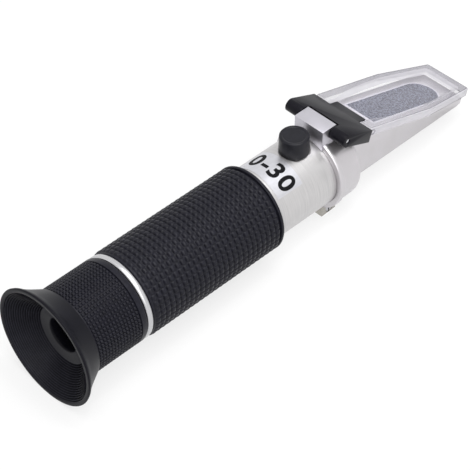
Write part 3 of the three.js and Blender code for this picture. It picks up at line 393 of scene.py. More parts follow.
def acrylic(name, low, high, edge, rear_haze, tip_haze, roughness):
    """Moulded acrylic between two colours, with a darker third painted in where a face turns away, for
    refraction.
    """
    finish = Finish(name)
    smear = finish.noise(220, 3)
    turned_away = finish.node("ShaderNodeLayerWeight", values={"Blend": 0.5}, output="Facing")
    body = finish.between(srgb(low), srgb(high), smear)
    along = finish.node("ShaderNodeSeparateXYZ", values={"Vector": finish.place()}, output=0)
    reach = {"From Min": haze_from * MM, "From Max": haze_to * MM, "To Min": rear_haze, "To Max": tip_haze}
    haze = finish.node("ShaderNodeMapRange", values={"Value": along, **reach})
    finish.shade(
        # Painted darkening where a face turns away, standing in for the plastic's refraction.
        Base_Color=finish.between(body, srgb(edge), turned_away ** 4),
        Roughness=roughness + 0.06 * smear,
        IOR=1.49,
        Alpha=haze + 0.16 * turned_away ** 3,
    )
    return finish


clear_acrylic = acrylic(
    "clear_acrylic", "cac8d0", "d8d6de", "c6c4cc", rear_haze=0.1, tip_haze=0.12, roughness=0.08)
acrylic_border = acrylic(
    "acrylic_border", "9b99a1", "b0aeb6", "85848c", rear_haze=0.34, tip_haze=0.42, roughness=0.14)
acrylic_wall = acrylic(
    "acrylic_wall", "b4b2b9", "c8c6cc", "b4b3ba", rear_haze=0.72, tip_haze=0.72, roughness=0.26)
acrylic_side = acrylic(
    "acrylic_side", "bfbdc4", "cfcdd3", "9a99a0", rear_haze=0.66, tip_haze=0.8, roughness=0.16)
acrylic_painted_refraction = acrylic(
    "acrylic_painted_refraction", "77767d", "8c8b92", "5c5b62", rear_haze=0.5, tip_haze=0.72, roughness=0.16)
acrylic_painted_shadow = acrylic(
    "acrylic_painted_shadow", "3e3d43", "4c4b52", "38373d", rear_haze=0.7, tip_haze=0.9, roughness=0.3)
print("lens and acrylic finishes made")

# %% [markdown]
# The face of the prism is ground, and shows as a speckled blue grey under the plate: a noise through a
# steep ramp gives dark and light grains with little between. The joint round it is a pale cement. The
# label is brushed foil, printed in black.

# %% Ground glass, cement, foil and ink
ground_glass = Finish("ground_glass")
speckle = ground_glass.noise(1750, 3)
steep = {"stops": [(0.42, (0, 0, 0, 1)), (0.58, WHITE)]}
grains = ground_glass.node("ShaderNodeValToRGB", steep, {"Fac": speckle})
ground_glass.shade(
    Base_Color=ground_glass.between(srgb("292d40"), srgb("777b8e"), grains),
    Roughness=0.55 + 0.2 * speckle,
    Specular_IOR_Level=0.2,
    Normal=ground_glass.bump(speckle, 0.03, 0.6),
)

pale_cement = Finish("pale_cement")
crumbs = pale_cement.noise(1500, 2)
pale_cement.shade(
    Base_Color=pale_cement.between(srgb("d6d3de"), srgb("e6e4ec"), crumbs),
    Roughness=0.4 + 0.1 * crumbs,
)

foil = Finish("foil")
brushed = foil.noise(500, 2, (1, 3, 3))
foil.shade(
    Base_Color=foil.between(srgb("c3c3c8"), srgb("d3d3d8"), brushed),
    Metallic=0.85,
    Roughness=0.3 + 0.06 * brushed,
    Normal=foil.bump(brushed, 0.0015, 0.3),
)

# This black is the label's print, and also painted shade on the frame's faces that look back at the block
# and in the screw's slot.
ink_and_painted_shade = Finish("ink_and_painted_shade")
blotches = ink_and_painted_shade.noise(2000, 2)
ink_and_painted_shade.shade(
    Base_Color=ink_and_painted_shade.between(srgb("09090b"), srgb("151518"), blotches),
    Roughness=0.4 + 0.15 * blotches,
    Specular_IOR_Level=0.08,
)
print("glass, cement, foil and ink finishes made")

# %% [markdown]
# ## Making meshes
# Nearly every piece here is a row of rings of points, joined by faces: rings round an axis for what a
# lathe would turn, outlines at different heights for what a mould would give. So one function makes the
# faces between rings, and another turns points in mm into a clean mesh.


# %% Points and faces
def ring_faces(rings, count, closed=True):
    """Faces between neighbouring rings of points; a closed row also joins the last ring to the first."""
    faces = []
    for ring in range(rings if closed else rings - 1):
        low = ring * count
        high = (ring + 1) % rings * count
        for i in range(count):
            j = (i + 1) % count
            faces.append((low + i, low + j, high + j, high + i))
    return faces


def to_mesh(work, name):
    mesh = bpy.data.meshes.new(name)
    work.to_mesh(mesh)
    work.free()
    return mesh


def join_doubles(work):
    bmesh.ops.remove_doubles(work, verts=work.verts, dist=0.002 * MM)


def tidy_mesh(name, points, faces):
    """A mesh from points in mm, with doubled points joined, empty faces dropped and normals outward."""
    work = bmesh.new()
    made = [work.verts.new([part * MM for part in point]) for point in points]
    for face in faces:
        work.faces.new([made[i] for i in face])
    join_doubles(work)
    bmesh.ops.dissolve_degenerate(work, edges=work.edges, dist=0.001 * MM)
    bmesh.ops.recalc_face_normals(work, faces=work.faces)
    return to_mesh(work, name)


def smooth(mesh, angle=35):
    """Smooth shading, with edges sharper than an angle in degrees kept."""
    mesh.polygons.foreach_set("use_smooth", [True] * len(mesh.polygons))
    mesh.set_sharp_from_angle(angle=math.radians(angle))
    mesh.update()
    return mesh


print("a ring of 8 points over another is joined by", len(ring_faces(2, 8, closed=False)), "faces")

# %% [markdown]
# Round pieces are turned from a profile, as on a lathe, which needs only the half section. A rounded edge
# in a profile is a quarter of a circle.


# %% Turning
def turned(name, profile, sides, upright=False, centre=(0, 0)):
    """A mesh turned from (place, radius) pairs in mm, round X or round an upright axis; closed in itself."""
    points = []
    for place, radius in profile:
        for i in range(sides):
            angle = 2 * math.pi * i / sides
            across = radius * math.sin(angle)
            up = radius * math.cos(angle)
            if upright:
                points.append((centre[0] + up, centre[1] + across, place))
            else:
                points.append((place, across, up))
    return tidy_mesh(name, points, ring_faces(len(profile), sides))


def quarter(place, radius, round_by, start):
    """Points on a quarter round in a profile, from an angle in degrees downwards."""
    steps = 4
    turns = [math.radians(start - 90 * i / steps) for i in range(steps + 1)]
    return [(place + round_by * math.cos(turn), radius + round_by * math.sin(turn)) for turn in turns]


print("a quarter round has", len(quarter(0, 0, 1, 90)), "points")

# %% [markdown]
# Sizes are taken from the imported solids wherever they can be, so that the dressed pieces fit them. Every
# finished piece is set on the body that it moves with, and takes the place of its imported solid, which
# otherwise stays in sight.


# %% Measuring and placing
def ends(node):
    """Where a node that lies along X starts, where it ends and how far out it reaches, in mm."""
    low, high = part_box(node)
    return low.x / MM, high.x / MM, high.y / MM


def add_piece(name, mesh, finishes, body, slot, *replaced):
    """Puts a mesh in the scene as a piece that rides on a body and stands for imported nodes."""
    piece = in_scene(name, mesh)
    for finish in finishes:
        mesh.materials.append(finish.material)
    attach(piece, body)
    if replaced:
        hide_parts(*replaced)
    print(name, "has", len(mesh.polygons), "faces")


SEAT_GAP = 0.1
tube_start, tube_end, tube_radius = ends("main_tube")
print("tube in mm:", round(tube_end - tube_start, 1), "long,", round(2 * tube_radius, 1), "across")

# %% [markdown]
# ## The knurled grip and focusing ring
# Both are rubber sleeves moulded with a grid of small pads. A bump map would leave the outline smooth and
# the pads without shadows, so they are real: the sleeve is a grid of rings and lines, and each point lies
# either on a pad, slightly domed, or down in a groove. On the focusing ring the pads are square. On the
# grip the grooves that run along it are shallower, so that its pads join round it into ribs.

# %% Padded sleeves
SQUARE_PAD = [(0.0, 0.0), (0.17, 0.0), (0.27, 0.62), (0.38, 0.92), (0.59, 1.0), (0.8, 0.92), (0.91, 0.62)]
JOINED_PAD = [(0.0, 0.4), (0.1, 0.4), (0.18, 0.82), (0.3, 0.97), (0.55, 1.0), (0.8, 0.97), (0.92, 0.82)]


def padded_sleeve(name, inner, outer, depth, pads_from, pads_to, rows, around, round_pad, before, after):
    """A sleeve with a field of pads between plain (place, radius) points before and after it."""
    pitch = (pads_to - pads_from) / rows
    stations = [(place, radius, 0) for place, radius in before]
    for row in range(rows):
        stations += [(pads_from + (row + share) * pitch, None, high) for share, high in SQUARE_PAD]
    stations.append((pads_to, None, 0))
    stations += [(place, radius, 0) for place, radius in after]
    stations += [(after[-1][0], inner, 0), (before[0][0], inner, 0)]
    lines = [((i + share) / around, high) for i in range(around) for share, high in round_pad]
    points = []
    for place, plain_radius, high in stations:
        for turn, high_across in lines:
            pad_radius = outer - depth * (1 - min(high, high_across))
            radius = pad_radius if plain_radius is None else plain_radius
            angle = 2 * math.pi * turn
            points.append((place, radius * math.sin(angle), radius * math.cos(angle)))
    return smooth(tidy_mesh(name, points, ring_faces(len(stations), len(lines))), angle=60)


print("a pad takes", len(SQUARE_PAD), "points each way")

# %% [markdown]
# The grip starts plain at the collar. At the head its pads end at a groove and a smooth lip, whose edges
# are rounded with a few points.

# %% Grip
start, end, outer = ends("grip_sleeve")
groove_depth = 0.6
foot_radius = outer - groove_depth
lip = end - 1
lip_groove = lip - 0.6
lip_groove_radius = outer - 0.9
grip_mesh = padded_sleeve(
    "grip", inner=tube_radius + SEAT_GAP, outer=outer, depth=groove_depth,
    pads_from=start + 0.5, pads_to=lip_groove - 0.1, rows=26, around=44, round_pad=JOINED_PAD,
    before=[(start, foot_radius - 0.3), (start + 0.3, foot_radius)],
    after=[(lip_groove, foot_radius), (lip_groove, lip_groove_radius), (lip, lip_groove_radius),
           (lip, outer - 0.15), (lip + 0.15, outer), (end - 0.3, outer), (end - 0.08, outer - 0.12),
           (end, outer - 0.4)],
)
add_piece("knurled_grip", grip_mesh, [grip_rubber], "barrel", "grip_rubber", "grip_sleeve")

# %% [markdown]
# The focusing ring's sleeve is shorter, with finer pads, and it ends in a smooth band before the collar.

# %% Focusing ring
start, end, outer = ends("focus_sleeve")
groove_depth = 0.5
foot_radius = outer - groove_depth
band_radius = outer - 0.02
focus_mesh = padded_sleeve(
    "focus", inner=ends("focus_core")[2] + SEAT_GAP, outer=outer, depth=groove_depth,
    pads_from=start + 0.5, pads_to=end - 2.3, rows=14, around=64, round_pad=SQUARE_PAD,
    before=[(start, foot_radius - 0.3), (start + 0.3, foot_radius)],
    after=[(end - 2.2, foot_radius), (end - 2.0, band_radius), (end - 0.4, band_radius),
           (end - 0.1, outer - 0.14), (end, outer - 0.4)],
)
add_piece("knurled_focus", focus_mesh, [grip_rubber], "focus_ring", "grip_rubber", "focus_sleeve")

# %% [markdown]
# ## The eyecup
# A soft rubber funnel that shades the eye. Its flat rim leads into a cone of sixteen fine rings, then a
# flat floor round the eyepiece hole. It is turned from one profile with five points to a ring, so that
# each ring is a small hollow with a crest on either side. Outside, it widens in a curve towards the rim.

# %% Eyecup
start, end, rim_radius = ends("eyecup")
cup_end = start + 8.2
floor_place = start + 7
floor_radius = 9.5
hole_radius = 5.4
spigot_radius = 8.9
base_radius = 14.6
lip_inner = rim_radius - 1.4
lip_round = 0.35
lip_band = 0.9
flare_steps = 8
flare_share = 0.82
ring_count = 16
ring_hollow = [(0, 0), (0.14, 0), (0.28, 0.4), (0.55, 0.52), (0.84, 0.42)]

profile = [(floor_place + 0.8, hole_radius), (floor_place + 0.16, hole_radius + 0.3),
           (floor_place, hole_radius + 0.6)]
for ring in range(ring_count):
    for share, deep in ring_hollow:
        along = (ring + share) / ring_count
        radius = floor_radius + (lip_inner - floor_radius) * along
        profile.append((start + (floor_place - start) * (1 - along) + deep, radius))
profile += [(start + 0.1, lip_inner), (start, lip_inner + 0.12), (start, rim_radius - lip_round)]
profile += quarter(start + lip_round, rim_radius - lip_round, lip_round, 180)[1:]
for i in range(flare_steps + 1):
    share = i / flare_steps
    drop = (rim_radius - lip_round - base_radius) * share ** flare_share
    radius = rim_radius - 0.3 - drop + 0.05 * (1 - share)
    profile.append((start + lip_band + share * (cup_end - start - lip_band), radius))
profile += [(cup_end, base_radius - 0.4), (cup_end, spigot_radius), (end, spigot_radius), (end, hole_radius)]
eyecup_mesh = smooth(turned("eyecup_rubber", profile, sides=144), angle=40)
print("eyecup:", len(profile), "points in its profile")

# %% [markdown]
# The crests of the rings get a painted highlight and the hollows painted shade, stronger than the shape
# alone would show at this size. So the cone has a finish of its own, a wave of the distance from the axis
# that runs in step with the rings.
# The floor takes the cap's rubber, which is a little paler: painted light, brighter than the shade it lies
# in.

# %% Rubber in the eyecup
CUP_OUTSIDE, CUP_CONE, CUP_FLOOR_PAINTED_LIGHT = range(3)
ring_phase = 0.45
cone_ends = floor_place + 0.6
cone_lean = -0.1
floor_lean = -0.5

cup_painted_rings = Finish("cup_painted_rings")
cup_cloud = cup_painted_rings.noise(260, 3)
length_of = {"operation": "LENGTH"}
from_axis = cup_painted_rings.node("ShaderNodeVectorMath", length_of, {0: cup_painted_rings.place((0, 1, 1))}, "Value")
ring_pitch = (lip_inner - floor_radius) * MM / ring_count
wave = (from_axis - floor_radius * MM) * (2 * math.pi / ring_pitch) - ring_phase
# The wave paints a highlight on each crest and shade in each hollow.
crest = 0.5 + 0.5 * cup_painted_rings.node("ShaderNodeMath", {"operation": "COSINE"}, {0: wave})
cup_painted_rings.shade(
    Base_Color=cup_painted_rings.between(srgb("07070a"), srgb("36363f"), crest ** 3 * (0.5 + 0.6 * cup_cloud)),
    Roughness=0.3 + 0.14 * cup_cloud,
    Specular_IOR_Level=0.08,
)

for face in eyecup_mesh.polygons:
    out = math.hypot(face.center.y, face.center.z) / MM
    in_cone = floor_radius < out < lip_inner and face.center.x / MM < cone_ends
    if in_cone and face.normal.x < cone_lean:
        face.material_index = CUP_CONE
    # The floor's paler rubber is painted light.
    elif out < floor_radius and face.normal.x < floor_lean:
        face.material_index = CUP_FLOOR_PAINTED_LIGHT
cup_finishes = [cup_rubber, cup_painted_rings, cap_rubber]
add_piece("eyecup_rubber", eyecup_mesh, cup_finishes, "focus_ring", "cup_rubber", "eyecup")

# %% [markdown]
# ## Collar and tube
# The collar that closes the grip is turned bright, and crowned, so that its gloss runs round it as one
# line. A crown that falls away only near its edges keeps that line broad. The tube is drawn aluminium with
# a satin finish.

# %% Collar
start, end, outer = ends("collar_ring")
half_width = (end - start) / 2
crown = 0.8
crown_steps = 24
profile = []
for i in range(crown_steps + 1):
    share = 2 * i / crown_steps - 1
    drop = crown * (1 - math.sqrt(1 - abs(share) ** 2.5))
    profile.append((start + half_width * (1 + share), outer - drop))
profile += [(end, tube_radius + SEAT_GAP), (start, tube_radius + SEAT_GAP)]
collar_mesh = smooth(turned("collar", profile, sides=160), angle=40)
add_piece("bright_collar", collar_mesh, [polished_metal], "barrel", "polished_metal", "collar_ring")

# %% [markdown]
# Some forms can't be turned with the rest of a piece. A Boolean modifier takes closed meshes out of
# another, as a drill or a mould's core would. The finished mesh is then read from the object, and the
# modifier and the cutters go.


# %% Cutting
def evaluated(holder):
    """The mesh that an object shows once its modifiers have worked."""
    bpy.context.view_layer.update()
    return bpy.data.meshes.new_from_object(holder.evaluated_get(bpy.context.evaluated_depsgraph_get()))


def cut(mesh, *cutters):
    """Takes other closed meshes out of a mesh."""
    holder = in_scene("cut", mesh)
    tools = [in_scene("cutter", cutter) for cutter in cutters]
    for tool in tools:
        step = holder.modifiers.new("cut", "BOOLEAN")
        step.operation = "DIFFERENCE"
        step.solver = "EXACT"
        step.object = tool
    result = evaluated(holder)
    for used in [holder, *tools]:
        bpy.data.objects.remove(used)
    return result


print("cutters are ready")

# %% [markdown]
# The tube is turned too, with rings close enough together for even shading. The flat seat and the hole for
# the screw that sets the zero lie across it, so they are cut.

# %% Tube
tube_bore = tube_radius - 1.5
tube_steps = 60
tube_length = tube_end - tube_start
profile = [(tube_start + tube_length * i / tube_steps, tube_radius) for i in range(tube_steps + 1)]
profile += [(tube_end, tube_bore), (tube_start, tube_bore)]
cap_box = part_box("calibration_cap")
bush_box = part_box("screw_bush")
cap_x = (cap_box[0].x + cap_box[1].x) / 2 / MM
cap_radius = (cap_box[1].x - cap_box[0].x) / 2 / MM
seat_radius = cap_radius + 0.35
seat_height = tube_radius - 0.82
bush_flange = 0.8
hole_radius = (bush_box[1].x - bush_box[0].x) / 2 / MM - bush_flange + SEAT_GAP
inside_tube = 5
above_tube = 20


def drill(name, low, radius, sides):
    """A round cutter at the cap's place, from a height up past the tube."""
    section = [(low, 0), (low, radius), (above_tube, radius), (above_tube, 0)]
    return turned(name, section, sides, upright=True, centre=(cap_x, 0))


seat = drill("spot", seat_height, seat_radius, sides=64)
hole = drill("hole", inside_tube, hole_radius, sides=48)
tube_mesh = smooth(cut(turned("tube", profile, sides=160), seat, hole), angle=30)
add_piece("satin_head", tube_mesh, [satin_tube], "barrel", "satin_metal", "main_tube")

# %% [markdown]
# ## The label
# The label is a thin sheet of foil bent round the tube, with the range of the scale printed across it.
# Sheet and numerals are made flat first, thickened, and then wrapped round the tube, which keeps their
# edges clean.


# %% Label
def thickened(work, height):
    """Gives a flat mesh a second layer at a height above it, and walls along its outline."""
    outline = [edge for edge in work.edges if edge.is_boundary]
    raised = {vertex: work.verts.new(vertex.co + Vector((0, 0, height))) for vertex in work.verts[:]}
    for face in work.faces[:]:
        work.faces.new([raised[vertex] for vertex in face.verts])
    for first, second in [edge.verts for edge in outline]:
        work.faces.new([first, second, raised[second], raised[first]])
    bmesh.ops.recalc_face_normals(work, faces=work.faces)


def wrapped(mesh):
    """Bends a flat mesh round the tube: its x runs round the tube from +Y to -Y, its y runs along X."""
    for vertex in mesh.vertices:
        across, along, out = vertex.co
        angle = across / (tube_radius * MM)
        reach = tube_radius * MM + out
        vertex.co = (along, -reach * math.sin(angle), reach * math.cos(angle))
    mesh.update()
    return mesh


label_low = -2.2 * MM
label_high = 8.2 * MM
label_from = -8.2 * MM
label_to = 10.7 * MM
foil_thickness = 0.08 * MM
work = bmesh.new()
bmesh.ops.create_grid(work, x_segments=60, y_segments=6, size=1)
for vertex in work.verts:
    vertex.co.x = label_from + (vertex.co.x + 1) / 2 * (label_to - label_from)
    vertex.co.y = label_low + (vertex.co.y + 1) / 2 * (label_high - label_low)
thickened(work, foil_thickness)
label_mesh = smooth(wrapped(to_mesh(work, "label")), angle=40)
add_piece("foil_label", label_mesh, [foil], "barrel", "satin_metal")

# %% [markdown]
# A numeral is a text outline turned into a mesh, a little bolder than the font. Its big faces are cut into
# strips first, so that they can follow the bend, and it is as thick as a layer of ink.

# %% Numerals
numeral_size = 8.6 * MM
stroke_gain = 0.028
strip_width = 0.5 * MM
ink_thickness = 0.03 * MM


def cut_in_strips(work, step):
    """Cuts a flat mesh along lines of equal x, so that it can bend."""
    low = min(vertex.co.x for vertex in work.verts)
    high = max(vertex.co.x for vertex in work.verts)
    count = int((high - low) / step)
    for i in range(1, count + 1):
        place = low + i * (high - low) / (count + 1)
        geometry = work.verts[:] + work.edges[:] + work.faces[:]
        bmesh.ops.bisect_plane(work, geom=geometry, plane_co=(place, 0, 0), plane_no=(1, 0, 0))


def numeral(text, size, across, along):
    """A printed numeral: a text outline, filled, cut in strips, thickened and bent round the tube."""
    curve = bpy.data.curves.new("numeral", "FONT")
    curve.body = text
    curve.size = size
    curve.align_x = "CENTER"
    curve.align_y = "CENTER"
    curve.offset = stroke_gain * size
    holder = in_scene("numeral", curve)
    flat = evaluated(holder)
    bpy.data.objects.remove(holder)
    work = bmesh.new()
    work.from_mesh(flat)
    bmesh.ops.remove_doubles(work, verts=work.verts, dist=0.001 * MM)
    cut_in_strips(work, strip_width)
    bmesh.ops.translate(work, verts=work.verts[:], vec=(across, along, foil_thickness))
    thickened(work, ink_thickness)
    return wrapped(to_mesh(work, "numeral"))


label_middle = (label_low + label_high) / 2
numerals = (("first", "0", -5.1), ("dash", "-", -0.9), ("second", "3", 3), ("third", "0", 7.9))
for name, text, across in numerals:
    numeral_mesh = numeral(text, numeral_size, across * MM, label_middle)
    add_piece(f"scale_numeral_{name}", numeral_mesh, [ink_and_painted_shade], "barrel", "black_plastic")

# %% [markdown]
# ## The calibration cap
# A soft cap covers the screw that sets the zero. It widens a little towards its foot, and its top lies a
# little below a round rim.

# %% Cap
cap_foot = cap_box[0].z / MM
cap_top = cap_box[1].z / MM
top_radius = cap_radius - 0.14
rim_round = 0.55
dish = cap_top - 0.22
room_radius = 3.3
room_top = cap_top - 1.4
profile = [(dish, 0), (dish, top_radius - 1.35), (dish, top_radius - 1.2),
           (cap_top - 0.16, top_radius - 1.05), (cap_top - 0.03, top_radius - 0.85)]
profile += reversed(quarter(cap_top - rim_round, top_radius - rim_round, rim_round, 90))
profile += [(cap_foot + 0.2, cap_radius - 0.02), (cap_foot, cap_radius - 0.15), (cap_foot, room_radius)]
profile += [(room_top, room_radius), (room_top, 0)]
cap_mesh = smooth(turned("cap", profile, sides=96, upright=True, centre=(cap_x, 0)), angle=40)
add_piece("rubber_cap", cap_mesh, [cap_rubber], "cap", "cup_rubber", "calibration_cap")

# %% [markdown]
# ## The slope
# The wedge, the prism and the plate lie on a slope. They are drawn on it, with one axis down the slope, one
# across and one off it, and are then turned into place.

# %% The slope
SLOPE = math.radians(16.7)
wedge_length = 52
slope_start = ends("prism_housing")[1] - wedge_length
slope_height = 12.15
to_slope = Matrix.Translation((slope_start * MM, 0, slope_height * MM)) @ Matrix.Rotation(SLOPE, 4, "Y")
from_slope = to_slope.inverted()


def on_slope(node):
    """How far a node reaches along the slope, to the side and off it, in mm."""
    points = [from_slope @ vertex.co / MM for vertex in nodes[node].data.vertices]
    return [(round(min(p[i] for p in points), 2), round(max(p[i] for p in points), 2)) for i in range(3)]


for name in ("prism", "daylight_plate", "prism_housing", "hinge_frame"):
    print(name, "on the slope:", on_slope(name))

# %% [markdown]
# ## The prism housing and what hangs on it
# The housing, its screws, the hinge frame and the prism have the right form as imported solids, so they are
# copied: the triangles are joined back into whole faces, and every sharp edge gets the small round of the
# real thing, which catches the light.


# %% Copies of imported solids
def rounded_copy(name, node, width):
    """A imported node's mesh with whole faces, and with a round so wide on every sharp edge."""
    flat_within = math.radians(0.6)
    sharp_over = math.radians(28)
    work = bmesh.new()
    work.from_mesh(nodes[node].data)
    join_doubles(work)
    bmesh.ops.dissolve_limit(work, angle_limit=flat_within, verts=work.verts, edges=work.edges)
    sharp = [e for e in work.edges if len(e.link_faces) == 2 and e.calc_face_angle() > sharp_over]
    bmesh.ops.bevel(
        work, geom=sharp, offset=width * MM, segments=2, profile=0.5, affect="EDGES",
        clamp_overlap=True, harden_normals=False,
    )
    return smooth(to_mesh(work, name))


housing_mesh = rounded_copy("housing", "prism_housing", width=0.22)
packed_faces = len(nodes["prism_housing"].data.polygons)
print("housing:", packed_faces, "faces as packed,", len(housing_mesh.polygons), "as copied")

# %% [markdown]
# One casting holds the tube's end, the hinge block, the clamp and the wedge that carries the prism. The
# block is milled, the slope is paler than the rest, and the low faces of the clamp's lug get painted shade,
# a darker finish, so each face takes its finish by where it lies.

# %% Housing
CAST, MILLED, PALE, LUG_SHADE = range(4)
block_low = tube_radius + 0.15
block_half = 6.1
pin_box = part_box("hinge_pin")
block_front = (pin_box[0].x + pin_box[1].x) / 2 / MM + 1.65
pale_from = 36
lug_root = -12.3
lug_half = 7.3
skirt_bottom = -13.3


def housing_finish(face):
    """Which finish a face of the casting has, from where it lies."""
    x, y, z = face.center / MM
    flat = max(abs(part) for part in face.normal) > 0.999
    if z > block_low and abs(y) < block_half and x < block_front:
        return MILLED
    if x > pale_from and (from_slope @ face.center).z > -0.02 * MM:
        return PALE
    # The lug's low and flat faces get painted shade.
    if z < lug_root and abs(y) < lug_half and x < block_front and (z < skirt_bottom or flat):
        return LUG_SHADE
    return CAST


for face in housing_mesh.polygons:
    face.material_index = housing_finish(face)
housing_finishes = [satin_cast, milled_cast, pale_cast, lug_painted_shade]
add_piece("cast_housing", housing_mesh, housing_finishes, "barrel", "satin_metal", "prism_housing")

# %% [markdown]
# The clamp's screw and nut and the hinge's pin are steel. Only the slot in the screw's head is dark, with
# painted shade and the dirt that a slot holds.

# %% Screw, nut and pin
STEEL, SLOT_SHADE_AND_DIRT = range(2)
slot_from = 0.2
slot_to = 1.2
slot_share = 0.42

for node, name in (("clamp_screw", "slotted_screw"), ("clamp_nut", "hex_nut"), ("hinge_pin", "bright_pin")):
    small_mesh = rounded_copy(name, node, width=0.1)
    low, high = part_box(node)
    middle = (low + high) / 2
    slot_reach = slot_share * (high.z - low.z)
    for face in small_mesh.polygons:
        deep = (face.center.y - low.y) / MM
        out = math.hypot(face.center.x - middle.x, face.center.z - middle.z)
        # The slot's dark finish is painted shade, with dirt.
        if node == "clamp_screw" and slot_from < deep < slot_to and out < slot_reach:
            face.material_index = SLOT_SHADE_AND_DIRT
    add_piece(name, small_mesh, [steel, ink_and_painted_shade], "barrel", "steel", node)

# %% [markdown]
# ## The hinge frame
# A black moulding clips the plate to the pin: a bar over the block, a knuckle at each side and a tongue
# that reaches down onto the plate. The faces of the bar that look back at the block lie in its shade, which
# is painted on them as a darker finish.

# %% Hinge frame
MOULDED, SHADED = range(2)
bar_half = 6.4
looks_back = -0.3
frame_mesh = rounded_copy("frame", "hinge_frame", width=0.2)
for face in frame_mesh.polygons:
    # These faces carry painted shade.
    if face.normal.x < looks_back and abs(face.center.y) < bar_half * MM:
        face.material_index = SHADED
frame_finishes = [black_plastic, ink_and_painted_shade]
add_piece("moulded_frame", frame_mesh, frame_finishes, "cover", "black_plastic", "hinge_frame")

# %% [markdown]
# ## Outlines on the slope
# The flat pieces of the prism end are each a stack of outlines. Drawing the lowest and the highest outline
# in a little gives the small rounds of the real edges. A corner of an outline is softened by a curve that
# starts a little before it and ends a little after it.


# %% Outlines
def softened(points, distance, steps=4):
    """An outline with each corner replaced by a curve that starts a distance before it."""
    most_of_side = 0.45
    result = []
    count = len(points)
    for i in range(count):
        before = Vector(points[i - 1])
        corner = Vector(points[i])
        after = Vector(points[(i + 1) % count])
        back = min(distance, (before - corner).length * most_of_side)
        ahead = min(distance, (after - corner).length * most_of_side)
        first = corner + (before - corner).normalized() * back
        last = corner + (after - corner).normalized() * ahead
        for k in range(steps + 1):
            u = k / steps
            point = (1 - u) ** 2 * first + 2 * u * (1 - u) * corner + u ** 2 * last
            result.append((point.x, point.y))
    return result


def stack_points(rings):
    return [(x, y, height) for height, outline in rings for x, y in outline]


def stacked(name, rings):
    """A closed mesh through outlines at given heights, with a cap on the first and on the last."""
    count = len(rings[0][1])
    last = (len(rings) - 1) * count
    caps = [tuple(range(count)), tuple(last + i for i in range(count))]
    return tidy_mesh(name, stack_points(rings), caps + ring_faces(len(rings), count, closed=False))


print("a softened square has", len(softened([(0, 0), (1, 0), (1, 1), (0, 1)], 0.2)), "points")

# %% [markdown]
# ## The prism
# The prism is glued into the slope, and only its ground face shows, square behind and half round in front.
# The face stands a little proud of the slope, as a thin sheet on the prism's solid, and the joint of pale
# cement is a low ring round it.

# %% Prism and its joint
prism_reach, prism_sides, _ = on_slope("prism")
face_half = prism_sides[1] + 0.2
face_tip = prism_reach[1] - 0.3
front_steps = 32


def window_outline(grow):
    """The ground face's outline on the slope, grown to every side."""
    half = face_half + grow
    rear = prism_reach[0] - grow
    centre = face_tip - face_half
    turns = [math.radians(-90 + 180 * i / front_steps) for i in range(front_steps + 1)]
    front = [(centre + half * math.cos(turn), half * math.sin(turn)) for turn in turns]
    return [(rear, -half), *front, (rear, half)]


prism_mesh = rounded_copy("prism_face", "prism", width=0.1)
add_piece("ground_prism", prism_mesh, [ground_glass], "barrel", "prism_glass", "prism")

face_rings = [(0.01, window_outline(0)), (0.12, window_outline(0)), (0.15, window_outline(-0.04))]
face_mesh = smooth(stacked("ground_face", face_rings))
face_mesh.transform(to_slope)
add_piece("ground_face", face_mesh, [ground_glass], "barrel", "prism_glass")

joint_section = [(0.01, 0.75), (0.14, 0.68), (0.18, 0.35), (0.17, 0.02), (0.01, -0.05)]
joint_rings = [(height, window_outline(grow)) for height, grow in joint_section]
joint_faces = ring_faces(len(joint_rings), len(window_outline(0)))
joint_mesh = smooth(tidy_mesh("joint", stack_points(joint_rings), joint_faces), angle=60)
joint_mesh.transform(to_slope)
add_piece("prism_joint", joint_mesh, [pale_cement], "barrel", "prism_glass")

# %% [markdown]
# The slope that carries the prism is milled to a bed with its own rim, a little wider than the wedge under
# it, with round corners at the tip. A thin slab laid over the casting gives that rim its clean edge.

# %% Bed of the prism
wedge_half = 9
rim_proud = 0.22
rim_start = 1.5
rim_low = -1.85
tip_round = 2.4


def bed_outline(grow):
    """The outline of the slope's rim: it starts under the hinge frame and has a rounded tip."""
    half = wedge_half + rim_proud + grow
    rim_end = on_slope("prism_housing")[0][1] + 0.1 + grow
    return softened([(rim_start, -half), (rim_end, -half), (rim_end, half), (rim_start, half)], tip_round, 8)


bed_section = [(rim_low, -0.1), (rim_low + 0.08, 0), (-0.16, 0), (-0.05, -0.12)]
bed_mesh = smooth(stacked("bed", [(height, bed_outline(grow)) for height, grow in bed_section]))
bed_mesh.transform(to_slope)
add_piece("slope_rim", bed_mesh, [satin_cast], "barrel", "satin_metal")

# %% [markdown]
# ## The daylight plate
# The plate is clear, with a raised border whose inner side slopes down to a shallow recess, which spreads
# the drop. It widens as far as a kink and narrows to its tip. The slab is a stack of outlines, and the
# recess is another stack that is cut out of it.


# %% Shape of the plate
def plate_outline(stations, halves, inset, corner):
    """An outline that runs up one side of the plate and back down the other, drawn in by an inset."""
    shifted = [stations[0] + inset, *stations[1:-1], stations[-1] - inset]
    near = [(s, -(half - inset)) for s, half in zip(shifted, halves)]
    far = [(s, half - inset) for s, half in zip(reversed(shifted), reversed(halves))]
    return softened(near + far, corner)


def plate_rings(section, stations, halves, corner):
    """The outlines for a section of (height, inset) pairs."""
    return [(height, plate_outline(stations, halves, inset, corner)) for height, inset in section]


(plate_rear, plate_tip), (_, plate_widest), (bottom, top) = on_slope("daylight_plate")
recess_floor = top - 1.3
kink = 33.2
recess_kink = kink - 0.6
plate_corner = 0.5
recess_corner = 1.5

